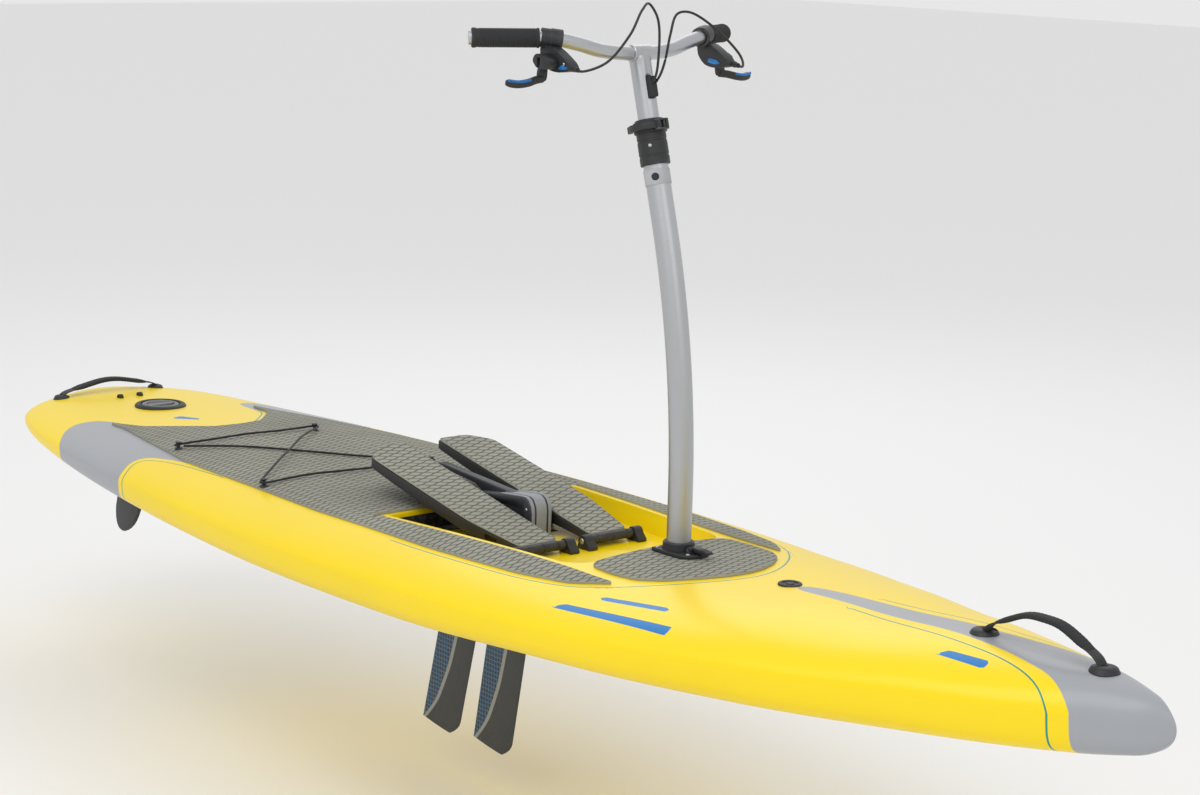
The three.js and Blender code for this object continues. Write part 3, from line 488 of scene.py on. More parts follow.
class Form:
    """The lofted board and its flattened rear deck."""

    half = 1.600
    rail = 0.508
    beam = table([(-1600, 81), (-1585, 114), (-1550, 195), (-1480, 251), (-1300, 304), (-1000, 352),
        (-600, 392), (-200, 414), (200, 404), (600, 360), (900, 286), (1150, 203), (1350, 130), (1480, 71),
        (1560, 32), (1600, 8)])
    deck = table([(-1600, 144), (-1300, 146), (-900, 159), (-400, 168), (100, 173), (490, 169), (770, 177),
        (900, 184), (1030, 187), (1200, 195), (1450, 193), (1600, 169)])
    keel = table([(-1600, 90), (-1300, 62), (-900, 31), (-400, 12), (100, 8), (490, 21), (900, 29),
        (1200, 45), (1450, 67), (1600, 94)])

    @classmethod
    def top(cls, x: np.ndarray | float, y: np.ndarray | float) -> np.ndarray:
        """Height of the deck at places on the board, with the rear deck flattened.

        Args:
            x: Places along.
            y: Places across.

        Returns:
            Heights.
        """
        w, top, low = along(cls.beam, x), along(cls.deck, x), along(cls.keel, x)
        rail = low + (top - low) * cls.rail
        share = np.minimum(1, np.abs(y) / w)
        crown = rail + (top - rail) * np.sqrt(1 - share**2)
        flat = 0.150 + (np.asarray(x) + 0.112) / (-0.748) * 0.011
        return np.where((np.asarray(x) > -0.86) & (np.asarray(x) < -0.092), np.minimum(crown, flat), crown)

    @classmethod
    def height(cls, x: float, y: float) -> float:
        """Height of the deck in millimetres, at a place in millimetres."""
        return float(cls.top(x / 1000, y / 1000)) * 1000

    @classmethod
    def ring(cls, x: float, count: int, grow: float) -> list[Point]:
        """One section round the board.

        Args:
            x: Place along.
            count: Points round the section.
            grow: Margin outward.

        Returns:
            The ring's points.
        """
        w, top, low = (float(along(c, x)) for c in (cls.beam, cls.deck, cls.keel))
        rail = low + (top - low) * cls.rail
        # The last stretch at bow and stern closes on a round.
        start = 1.545 if x > 0 else 1.575
        ease = sqrt(max(0.0, 1 - (max(0.0, abs(x) - start) / (cls.half - start)) ** 2))
        w, top, low = w * ease, rail + (top - rail) * ease, rail + (low - rail) * ease
        points = []
        for i in range(count):
            angle = 2 * pi * i / count
            across, high = cos(angle), sin(angle)
            power = 1.0 if high > 0 else 0.5
            height = (top - rail if high > 0 else rail - low) + grow
            points.append((x, (w + grow) * copysign(abs(across) ** power, across), rail + height
                * copysign(abs(high) ** power, high)))
        return points


def mesh_object(name: str, points: Sequence, faces: Sequence, smooth: bool = True,
        sharp: float | None = 35.0) -> Piece:
    """Makes a mesh object from points on the board.

    Args:
        name: Its name.
        points: Points on the board, in metres.
        faces: Lists of point numbers.
        smooth: Whether faces are shaded smooth.
        sharp: Angle in degrees above which edges stay sharp.

    Returns:
        The object, linked to the scene and drawn in the frame.
    """
    mesh = bpy.data.meshes.new(name)
    mesh.from_pydata(place(np.array(points, float)).tolist(), [], [list(f) for f in faces])
    mesh.validate()
    work = bmesh.new()
    work.from_mesh(mesh)
    bmesh.ops.remove_doubles(work, verts=work.verts, dist=1e-6)
    bmesh.ops.recalc_face_normals(work, faces=work.faces)
    for face in work.faces:
        face.smooth = smooth
    work.to_mesh(mesh)
    work.free()
    if smooth and sharp:
        mesh.set_sharp_from_angle(angle=radians(sharp))
    piece = bpy.data.objects.new(name, mesh)
    bpy.context.scene.collection.objects.link(piece)
    return piece


def bake(piece: Piece) -> Piece:
    """Applies a piece's modifiers and leaves a plain mesh.

    Args:
        piece: The piece.

    Returns:
        The same piece.
    """
    bpy.context.view_layer.update()
    evaluated = piece.evaluated_get(bpy.context.evaluated_depsgraph_get())
    mesh = bpy.data.meshes.new_from_object(evaluated)
    piece.modifiers.clear()
    piece.data = mesh
    mesh.name = piece.name
    return piece


def bevel(piece: Piece, width: float, segments: int = 2, angle: float = 40.0) -> Piece:
    """Rounds a piece's sharp edges and applies the result.

    Args:
        piece: The piece.
        width: Bevel width.
        segments: Bevel segments.
        angle: Edge angle in degrees above which an edge is rounded.

    Returns:
        The same piece.
    """
    modifier = piece.modifiers.new("round", "BEVEL")
    modifier.width = width
    modifier.segments = segments
    modifier.limit_method = "ANGLE"
    modifier.angle_limit = radians(angle)
    bake(piece)
    piece.data.set_sharp_from_angle(angle=radians(45))
    return piece


def cut(piece: Piece, cutters: Iterable[Piece], mode: str = "DIFFERENCE") -> Piece:
    """Cuts, joins or crosses a piece with others, which are removed.

    Args:
        piece: The piece.
        cutters: The cutting pieces.
        mode: DIFFERENCE, UNION or INTERSECT.

    Returns:
        The same piece.
    """
    cutters = list(cutters)
    for cutter in cutters:
        modifier = piece.modifiers.new("cut", "BOOLEAN")
        modifier.operation = mode
        modifier.solver = "EXACT"
        modifier.object = cutter
    bake(piece)
    for cutter in cutters:
        bpy.data.objects.remove(cutter)
    return piece


def prism(name: str, outline: Corners, low: float, high: float, plane: str = "XY") -> Piece:
    """An outline drawn out along the third axis.

    Args:
        name: Its name.
        outline: Corner points in the plane.
        low: First place along the third axis.
        high: Second place.
        plane: XY, XZ or YZ.

    Returns:
        The object.
    """
    order = {"XY": (0, 1, 2), "XZ": (0, 2, 1), "YZ": (2, 0, 1)}[plane]
    points = []
    for level in (low, high):
        for a, b in outline:
            triple = (a, b, level)
            points.append([triple[k] / 1000 for k in order])
    n = len(outline)
    faces = [list(range(n)), list(range(2 * n - 1, n - 1, -1))]
    faces += [[i, (i + 1) % n, (i + 1) % n + n, i + n] for i in range(n)]
    return mesh_object(name, points, faces)


def revolve(name: str, start: Point, axis: Point, profile: Corners, sides: int = 48) -> Piece:
    """A closed turned body; the profile runs from axis to axis or round a ring.

    Args:
        name: Its name.
        start: A point on the axis.
        axis: The axis direction.
        profile: (place along the axis, radius) rows in millimetres; radius 0 closes the body.
        sides: Divisions round.

    Returns:
        The object.
    """
    start, axis = Vector(start) / 1000, Vector(axis).normalized()
    side = axis.orthogonal().normalized()
    other = axis.cross(side)
    closed = profile[0] == profile[-1]
    points, index = [], []
    for place_along, radius in profile[:-1] if closed else profile:
        count = sides if radius > 0 else 1
        index.append([len(points) + k % count for k in range(sides)])
        for k in range(count):
            angle = 2 * pi * k / sides
            spoke = (side * cos(angle) + other * sin(angle)) * radius
            points.append(tuple(start + (axis * place_along + spoke) / 1000))
    faces = []
    for low, high in zip(index, index[1:] + (index[:1] if closed else [])):
        for k in range(sides):
            ring = [low[k], low[(k + 1) % sides], high[(k + 1) % sides], high[k]]
            faces.append(list(dict.fromkeys(ring)))
    if not closed:
        faces += [index[0], index[-1]]
    return mesh_object(name, points, [f for f in faces if len(set(f)) > 2], sharp=30)


def rod(name: str, start: Point, axis: Point, length: float, radius: float, sides: int = 48) -> Piece:
    """A plain round rod from a start point along an axis."""
    return revolve(name, start, axis, [(0, 0), (0, radius), (length, radius), (length, 0)], sides)


def rect(left: float, right: float, low: float, high: float) -> Corners:
    """The corners of an upright rectangle."""
    return [(left, low), (right, low), (right, high), (left, high)]


def oval(wide: float, tall: float, count: int, first: float = 1.0, second: float = 1.0) -> Corners:
    """The corners of an oval section, squared off by powers below 1."""
    turns = [(cos(t), sin(t)) for t in np.linspace(0, 2 * pi, count, endpoint=False)]
    return [(wide * copysign(abs(c) ** first, c), tall * copysign(abs(s) ** second, s)) for c, s in turns]


def bend(start: Sequence, middle: Sequence, end: Sequence, shares: Sequence[float]) -> list[tuple]:
    """Points at shares of the curve that leaves start and reaches end on lines through middle."""
    a, c, b = (np.array(v, float) for v in (start, middle, end))
    return [tuple((1 - t) ** 2 * a + 2 * t * (1 - t) * c + t * t * b) for t in shares]


def soften(outline: Corners, reach: float = 0.22) -> Corners:
    """Rounds an outline's corners by a short curve across each.

    Args:
        outline: The corners.
        reach: Share of each side that a curve takes.

    Returns:
        The softened outline.
    """
    result = []
    corners = np.array(outline, float)
    for a, c, b in zip(np.roll(corners, 1, 0), corners, np.roll(corners, -1, 0)):
        first, last = (min(reach, 18 / max(1, np.linalg.norm(c - v))) for v in (a, b))
        result += bend(c + (a - c) * first, c, c + (b - c) * last, (0.0, 0.5, 1.0))
    return result


def spline(points: Sequence[Point], count: int) -> np.ndarray:
    """Samples a centripetal Catmull-Rom curve through points, evenly by arc length.

    Args:
        points: Points.
        count: Samples.

    Returns:
        Points in metres.
    """
    p = np.array(points, float) / 1000
    p = np.vstack([2 * p[0] - p[1], p, 2 * p[-1] - p[-2]])
    dense = []
    for i in range(1, len(p) - 2):
        knots = [0.0]
        for a, b in zip(p[i - 1:i + 2], p[i:i + 3]):
            knots.append(knots[-1] + max(1e-6, np.linalg.norm(b - a)) ** 0.5)
        t0, t1, t2, t3 = knots
        for t in np.linspace(t1, t2, 24, endpoint=False):
            a1 = (t1 - t) / (t1 - t0) * p[i - 1] + (t - t0) / (t1 - t0) * p[i]
            a2 = (t2 - t) / (t2 - t1) * p[i] + (t - t1) / (t2 - t1) * p[i + 1]
            a3 = (t3 - t) / (t3 - t2) * p[i + 1] + (t - t2) / (t3 - t2) * p[i + 2]
            b1 = (t2 - t) / (t2 - t0) * a1 + (t - t0) / (t2 - t0) * a2
            b2 = (t3 - t) / (t3 - t1) * a2 + (t - t1) / (t3 - t1) * a3
            dense.append((t2 - t) / (t2 - t1) * b1 + (t - t1) / (t2 - t1) * b2)
    dense.append(p[-2])
    dense = np.array(dense)
    lengths = np.concatenate([[0], np.cumsum(np.linalg.norm(np.diff(dense, axis=0), axis=1))])
    targets = np.linspace(0, lengths[-1], count)
    return np.stack([np.interp(targets, lengths, dense[:, k]) for k in range(3)], axis=1)


def sweep(name: str, path: np.ndarray, section: Callable[[float], Corners], up: Point = (0, 0, 1),
        uv: bool = False) -> Piece:
    """A section carried along a path and capped at both ends.

    Args:
        name: Its name.
        path: Points in metres on the board.
        section: Gives the section's (across, up) corners in millimetres for a share of the path.
        up: Direction that the section's second axis keeps close to.
        uv: Whether a UV map of turns round and metres along is added.

    Returns:
        The object.
    """
    tangents = np.gradient(path, axis=0)
    tangents /= np.linalg.norm(tangents, axis=1)[:, None]
    up = np.array(up, float)
    points, n = [], len(section(0.0))
    for i, (centre, tangent) in enumerate(zip(path, tangents)):
        normal = up - tangent * np.dot(up, tangent)
        normal /= np.linalg.norm(normal)
        across = np.cross(tangent, normal)
        for a, b in section(i / (len(path) - 1)):
            points.append(centre + across * a / 1000 + normal * b / 1000)
    faces = [[i * n + k, i * n + (k + 1) % n, (i + 1) * n + (k + 1) % n, (i + 1) * n + k]
        for i in range(len(path) - 1) for k in range(n)]
    faces += [list(range(n)), list(range((len(path) - 1) * n, len(path) * n))[::-1]]
    piece = mesh_object(name, points, faces, sharp=40)
    if uv:
        lengths = np.concatenate([[0], np.cumsum(np.linalg.norm(np.diff(path, axis=0), axis=1))])
        layer = piece.data.uv_layers.new(name="UVMap")
        for face in piece.data.polygons:
            if face.index >= (len(path) - 1) * n:
                continue
            i, k = divmod(face.index, n)
            for loop in face.loop_indices:
                ring, column = divmod(piece.data.loops[loop].vertex_index, n)
                turn = (column + (n if column == 0 and k == n - 1 else 0)) / n
                layer.data[loop].uv = (turn, lengths[ring])
    return piece


def dress(piece: Piece, material: Material) -> Piece:
    """Gives a piece one material, and returns the piece."""
    piece.data.materials.clear()
    piece.data.materials.append(material)
    return piece


def merge(name: str, pieces: Sequence[Piece]) -> Piece:
    """Puts several pieces in one object.

    Args:
        name: The joined object's name.
        pieces: Pieces to join.

    Returns:
        The joined object.
    """
    with bpy.context.temp_override(active_object=pieces[0], object=pieces[0], selected_objects=list(pieces),
            selected_editable_objects=list(pieces)):
        bpy.ops.object.join()
    pieces[0].name = name
    pieces[0].data.name = name
    return pieces[0]


class Row:
    """A Geometry Nodes group that repeats a small part along a path."""

    def __init__(self) -> None:
        """Builds the group: path points, one part on each, made real and given a material."""
        tree = bpy.data.node_groups.new("row_of_parts", "GeometryNodeTree")
        sockets = [("Geometry", "NodeSocketGeometry"), ("Part", "NodeSocketObject"),
            ("Spacing", "NodeSocketFloat"), ("Material", "NodeSocketMaterial")]
        self.keys = {name: tree.interface.new_socket(name, in_out="INPUT", socket_type=kind).identifier
            for name, kind in sockets}
        tree.interface.new_socket("Geometry", in_out="OUTPUT", socket_type="NodeSocketGeometry")
        g = Graph(tree, "GeometryNode")
        entry = g.add("NodeGroupInput").outputs
        curve = g.add("MeshToCurve", {0: entry["Geometry"]}).outputs[0]
        spots = g.add("CurveToPoints", {"Curve": curve, "Length": entry["Spacing"]}, mode="LENGTH")
        part = g.add("ObjectInfo", {"Object": entry["Part"]}).outputs["Geometry"]
        copies = g.add("InstanceOnPoints", {"Points": spots.outputs["Points"], "Instance": part,
            "Rotation": spots.outputs["Rotation"]}).outputs[0]
        real = g.add("RealizeInstances", {0: copies}).outputs[0]
        done = g.add("SetMaterial", {"Geometry": real, "Material": entry["Material"]}).outputs[0]
        g.add("NodeGroupOutput", {0: done})
        self.tree = tree

    def along(self, name: str, path: np.ndarray, part: Piece, spacing: float, material: Material) -> Piece:
        """Repeats a part along a path.

        Args:
            name: Its name.
            path: Points on the board in metres.
            part: A part drawn about the frame's origin with its length along Z; it is removed afterwards.
            spacing: Distance between copies in metres.
            material: Material of the copies.

        Returns:
            The row as one plain mesh.
        """
        mesh = bpy.data.meshes.new(name)
        mesh.from_pydata(place(path).tolist(), [(i, i + 1) for i in range(len(path) - 1)], [])
        row = bpy.data.objects.new(name, mesh)
        bpy.context.scene.collection.objects.link(row)
        modifier = row.modifiers.new("row", "NODES")
        modifier.node_group = self.tree
        modifier[self.keys["Part"]] = part
        modifier[self.keys["Spacing"]] = spacing
        modifier[self.keys["Material"]] = material
        bake(row)
        bpy.data.objects.remove(part)
        return row


def stitch(length: float = 2.6, radius: float = 0.42) -> Piece:
    """One rounded stitch about the frame's origin, its length along Z."""
    rows = [(0, 0), (0.25, radius * 0.7), (0.7, radius), (length - 0.7, radius),
        (length - 0.25, radius * 0.7), (length, 0)]
    return revolve("stitch", ORIGIN * 1000 - (0, 0, length / 2), (0, 0, 1), rows, 8)


def signed(points: np.ndarray, line: Corners, closed: bool = False) -> np.ndarray:
    """Distance from points to a line drawn on the board; positive on its left or inside it.

    Args:
        points: (x, y) rows in metres.
        line: Corner points.
        closed: Whether the line closes on itself.

    Returns:
        Signed distances in metres.
    """
    corners = np.array([*line, line[0]] if closed else line, float) / 1000
    best, sign, inside = np.full(len(points), 1e9), np.ones(len(points)), np.zeros(len(points), bool)
    for a, b in zip(corners[:-1], corners[1:]):
        run = b - a
        t = np.clip(((points - a) @ run) / max(1e-12, run @ run), 0, 1)
        gap = points - (a + t[:, None] * run)
        distance = np.hypot(gap[:, 0], gap[:, 1])
        left = run[0] * (points[:, 1] - a[1]) - run[1] * (points[:, 0] - a[0])
        nearer = distance < best - 1e-9
        best = np.where(nearer, distance, best)
        sign = np.where(nearer, np.where(left >= 0, 1.0, -1.0), sign)
        if closed and abs(b[1] - a[1]) > 1e-12:
            crosses = ((a[1] > points[:, 1]) != (b[1] > points[:, 1])) & (points[:, 0] < (b[0] - a[0])
                * (points[:, 1] - a[1]) / (b[1] - a[1]) + a[0])
            inside ^= crosses
    if closed:
        sign = np.where(inside, 1.0, -1.0)
    return best * sign


def paint(piece: Piece, name: str, values: np.ndarray) -> None:
    """Writes a named attribute with one value for each vertex."""
    layer = piece.data.attributes.new(name, "FLOAT", "POINT")
    layer.data.foreach_set("value", np.asarray(values, np.float32))


def board_points(piece: Piece) -> np.ndarray:
    """The vertices of a piece as places on the board, in metres."""
    return np.array([vertex.co for vertex in piece.data.vertices], float) + ORIGIN


# --- finishes


class Palette:
    """Every material of the board, built once."""

    def __init__(self) -> None:
        """Builds the materials."""
        effects = Effects()
        self.hull = HullPaint().make(effects)
        self.foam = FoamFinish().make(effects)
        self.black = Finish("black_plastic", srgb(34, 35, 37), 0.5, grain=700, depth=0.0001,
            worn_colour=srgb(105, 106, 108)).make(effects)
        self.frame = Finish("drive_plastic", srgb(44, 47, 51), 0.48, grain=600, worn_colour=srgb(112, 114,
            118)).make(effects)
        self.stripe = Finish("grey_moulding", srgb(138, 142, 146), 0.5, grain=500, worn=0.2,
            worn_colour=srgb(185, 186, 188)).make(effects)
        self.satin = Finish("satin_aluminium", srgb(182, 184, 187), 0.36, metallic=0.92, grain=900,
            depth=0.00003, stretch=(1.0, 1.0, 0.06), worn=0.25, worn_colour=srgb(235, 235, 235),
            variation=0.04).make(effects)
        self.label = Finish("silver_label", srgb(176, 179, 183), 0.5, metallic=0.3, grain=500,
            worn=0.2).make(effects)
        self.rubber = Finish("grip_rubber", srgb(38, 39, 41), 0.8, grain=800, depth=0.0002, worn=0.25,
            worn_colour=srgb(84, 85, 87)).make(effects)
        self.cable = Finish("cable_sleeve", srgb(26, 26, 28), 0.42, grain=900, worn=0.1).make(effects)
        self.thread = Finish("grey_thread", srgb(92, 94, 96), 0.85, grain=900, worn=0.1).make(effects)
        self.steel = Finish("bright_steel", srgb(186, 188, 190), 0.28, metallic=1.0, grain=700,
            depth=0.00003, variation=0.06, worn_colour=srgb(230, 230, 230)).make(effects)
        self.lens = Finish("hatch_lens", srgb(116, 118, 119), 0.4, grain=500, worn_colour=srgb(170, 170,
            170)).make(effects)
        self.blue = Finish("blue_insert", srgb(0, 104, 178), 0.42, grain=600, worn_colour=srgb(70, 160,
            215)).make(effects)
        self.strap = WovenFinish("woven_strap", srgb(36, 37, 39), 60.0, 2600.0).make(effects)
        self.cord = WovenFinish("braided_cord", srgb(24, 24, 25), 6 * pi, 2200.0).make(effects)
        self.fin = FinFinish("fin_print").make(effects)


# --- the board


@dataclass
class Hull:
    """The painted board with its recess, wells and sockets."""

    palette: Palette
    rings: int = 300
    sides: int = 160
    band: tuple = ((-1150, -165), (-1215, -171), (-1252, -184), (-1270, -202), (-1277, -231), (-1262, -262),
        (-1235, -290), (-1207, -311), (-1178, -338), (-1172, -800), (-856, -800), (-856, -372),
        (-866, -352), (-882, -329), (-886, -312), (-880, -295), (-858, -283), (-830, -277), (-785, -268),
        (-735, -265), (-670, -267), (-609, -269), (-600, -240), (-700, -200))
    nose: tuple = ((795, 8), (795, -2), (806, -14), (840, -20), (900, -22), (1046, -28), (1200, -31),
        (1280, -38), (1353, -52), (1406, -61), (1448, -76), (1466, -84), (1468, -800), (1900, -800),
        (1900, 8))
    lines: tuple = ([(960, -43), (1125, -56), (1267, -60), (1340, -70), (1392, -82), (1420, -92),
        (1434, -104), (1440, -800)], [(540, -226), (593, -180), (640, -124), (668, -82), (688, -40),
        (694, 0)], [(-973, 0), (-985, -52), (-1040, -102), (-1112, -158), (-1190, -172)],
        [(-600, -278), (-670, -279), (-735, -279), (-795, -284), (-835, -291), (-862, -300), (-871, -314),
        (-866, -332), (-848, -356), (-838, -374), (-836, -800)], [(540, -226), (477, -264), (368, -288),
        (250, -299), (131, -307), (38, -308)])
    marks: tuple = ([(520, -326), (540, -306), (770, -268), (778, -290)], [(566, -268), (582, -250),
        (716, -222), (722, -236)], [(1214, -112), (1226, -92), (1302, -82), (1306, -102)],
        [(-1150, -66), (-1156, -34), (-1092, -16), (-1090, -30)])

    def build(self) -> Piece:
        """Lofts, cuts and paints the hull.

        Returns:
            The hull piece.
        """
        form = self.loft("hull_shell", 0.0)
        cut(form, [self.rear_wedge(0)])
        corner = [(-112, -232), (365, -186)]
        corner += [(365 + 60 * sin(t), -182 + 56 * (1 - cos(t)) - 4 * cos(t)) for t in np.linspace(0.2,
            pi / 2, 7)]
        outline = corner + [(x, -y) for x, y in reversed(corner)]
        cutters = [prism("recess", outline, 118, 300), prism("slot_low", rect(-205, 98, -34, 34), -20, 78),
            prism("slot", rect(-110, 98, -34, 34), 60, 130), prism("well_wide", rect(-110, -90, -200, 200),
            62, 130), prism("well", rect(-110, 66, -70, 70), 62, 130), rod("socket", (488, 0, 120),
            (0, 0, 1), 120, 23), rod("hatch_hole", (-1300, 0, 96), (0, 0, 1), 90, 48.3),
            rod("vent_hole", (775, 0, 162), (0, 0, 1), 60, 16.5), rod("rudder_hole", (-1402, 0, 0),
            (0, 0, 1), 110, 9.3), prism("keel_cut", rect(-700, 700, -500, 500), -30, 10)]
        cut(form, cutters)
        bevel(form, 0.004, 2, 50)
        self.paint(form)
        return dress(form, self.palette.hull)

    @staticmethod
    def rear_wedge(lift: float) -> Piece:
        """The block that flattens the rear deck, raised by a lift."""
        profile = [(-860, 161 + lift), (-92, 149.7 + lift), (-92, 260), (-860, 260)]
        return prism("wedge", profile, -300, 300, "XZ")

    def loft(self, name: str, grow: float, rings: int | None = None, sides: int | None = None) -> Piece:
        """The uncut board, grown outward by a margin.

        Args:
            name: Its name.
            grow: Margin in metres.
            rings: Rings along the board.
            sides: Divisions round the section.

        Returns:
            The object.
        """
        rings, sides = rings or self.rings, sides or self.sides
        # Rings crowd the rounded ends.
        ends = [0.055 * (1 - cos(pi / 2 * i / 12)) for i in range(1, 12)]
        places = [-Form.half + gap for gap in ends]
        places += list(np.linspace(-Form.half + 0.055, Form.half - 0.055, rings))
        places += [Form.half - gap for gap in reversed(ends)]
        points = [(-Form.half - grow, 0.0, float(0.09 + 0.054 * Form.rail))]
        for x in places:
            points += Form.ring(x, sides, grow)
        points.append((Form.half + grow, 0.0, float(0.094 + 0.075 * Form.rail)))
        faces = [[0, 1 + (k + 1) % sides, 1 + k] for k in range(sides)]
        for i in range(len(places) - 1):
            a, b = 1 + i * sides, 1 + (i + 1) * sides
            faces += [[a + k, a + (k + 1) % sides, b + (k + 1) % sides, b + k] for k in range(sides)]
        last, base = len(points) - 1, 1 + (len(places) - 1) * sides
        faces += [[last, base + k, base + (k + 1) % sides] for k in range(sides)]
        return mesh_object(name, points, faces, sharp=None)

    @staticmethod
    def unroll(line: Corners) -> Corners:
        """Moves a line drawn in plan to the unrolled skin, where the rail is a quarter turn out.

        Args:
            line: Corner points in millimetres, starboard half; past the rail they run down the side.

        Returns:
            The line on the unrolled skin.
        """
        result = []
        for x, y in line:
            w = float(along(Form.beam, x / 1000)) * 1000
            share = min(1.0, abs(y) / w)
            out = w * asin(share) + max(0.0, abs(y) - w)
            result.append((x, copysign(out, y)))
        # Corners are cut twice, so that drawn lines bend softly.
        for _ in range(2):
            pairs = [(np.array(a), np.array(b)) for a, b in zip(result, result[1:])]
            cuts = [tuple(a + (b - a) * share) for a, b in pairs for share in (0.25, 0.75)]
            result = [result[0], *cuts, result[-1]]
        return result

    def paint(self, piece: Piece) -> None:
        """Writes the paint areas as signed distances.

        Args:
            piece: The hull piece.
        """
        p = board_points(piece)
        w, top, low = (along(c, p[:, 0]) for c in (Form.beam, Form.deck, Form.keel))
        rail = low + (top - low) * Form.rail
        turn = np.arctan2(np.maximum(0, p[:, 2] - rail) / (top - rail), np.abs(p[:, 1]) / w)
        outward = np.where(p[:, 2] < rail, w * pi / 2 + (rail - p[:, 2]), w * (pi / 2 - turn))
        plan = np.stack([p[:, 0], -outward], axis=1)
        silver = np.maximum(signed(plan, self.unroll(self.band), True), signed(plan, self.unroll(self.nose),
            True))
        paint(piece, "silver", silver)
        gaps = [signed(plan, self.unroll(line)) for line in self.lines]
        for k, gap in enumerate(gaps):
            paint(piece, f"line_{k}", gap)
        paint(piece, "line_near", np.min(np.abs(gaps), axis=0))
        marks = np.max([signed(p[:, :2], mark, True) for mark in self.marks], axis=0)
        paint(piece, "marks", np.where(p[:, 2] < rail, -0.01, marks))
        inside = (np.abs(p[:, 1]) < 0.2021) & (p[:, 0] > -0.207) & (p[:, 0] < 0.1) & (p[:, 2] > 0.0101)
        paint(piece, "well", np.where(inside & (p[:, 2] < 0.1), 0.01, -0.01))


@dataclass
class DeckPads:
    """The two foam pads, each with a rounded edge that follows the deck."""

    palette: Palette
    thick: float = 0.005
    glue: float = 0.0003
    main: tuple = ((-960, 0), (-972, -60), (-1030, -110), (-1100, -163), (-1205, -188), (-1130, -194),
        (-1000, -222), (-758, -265), (-577, -276), (-234, -296), (38, -295), (131, -294), (250, -286),
        (368, -274), (477, -250), (548, -203), (500, -203), (420, -202), (300, -209), (106, -229),
        (-85, -246), (-124, -240), (-122, 0))
    bow: tuple = ((434, 0), (434, -150), (448, -168), (505, -172), (560, -166), (604, -138), (641, -90),
        (664, -44), (672, 0))

    def build(self, shell: Hull) -> Pieces:
        """Builds both pads.

        Args:
            shell: Gives the board's form.

        Returns:
            The main pad and the bow pad.
        """
        pieces = []
        for name, half in (("foam_main_pad", self.main), ("foam_bow_pad", self.bow)):
            outline = [*half, *((x, -y) for x, y in reversed(half) if y != 0)]
            pad = prism(name, soften(outline), 90, 240)
            for grow, mode in ((self.thick + self.glue, "INTERSECT"), (self.glue, "DIFFERENCE")):
                skin = cut(shell.loft("skin", grow, 150, 96), [shell.rear_wedge(grow * 1000)])
                cut(pad, [skin], mode)
            if name == "foam_bow_pad":
                cut(pad, [rod("hole", (488, 0, 100), (0, 0, 1), 150, 25.5)])
            bevel(pad, 0.0022, 2, 50)
            pieces.append(dress(pad, self.palette.foam))
        return pieces


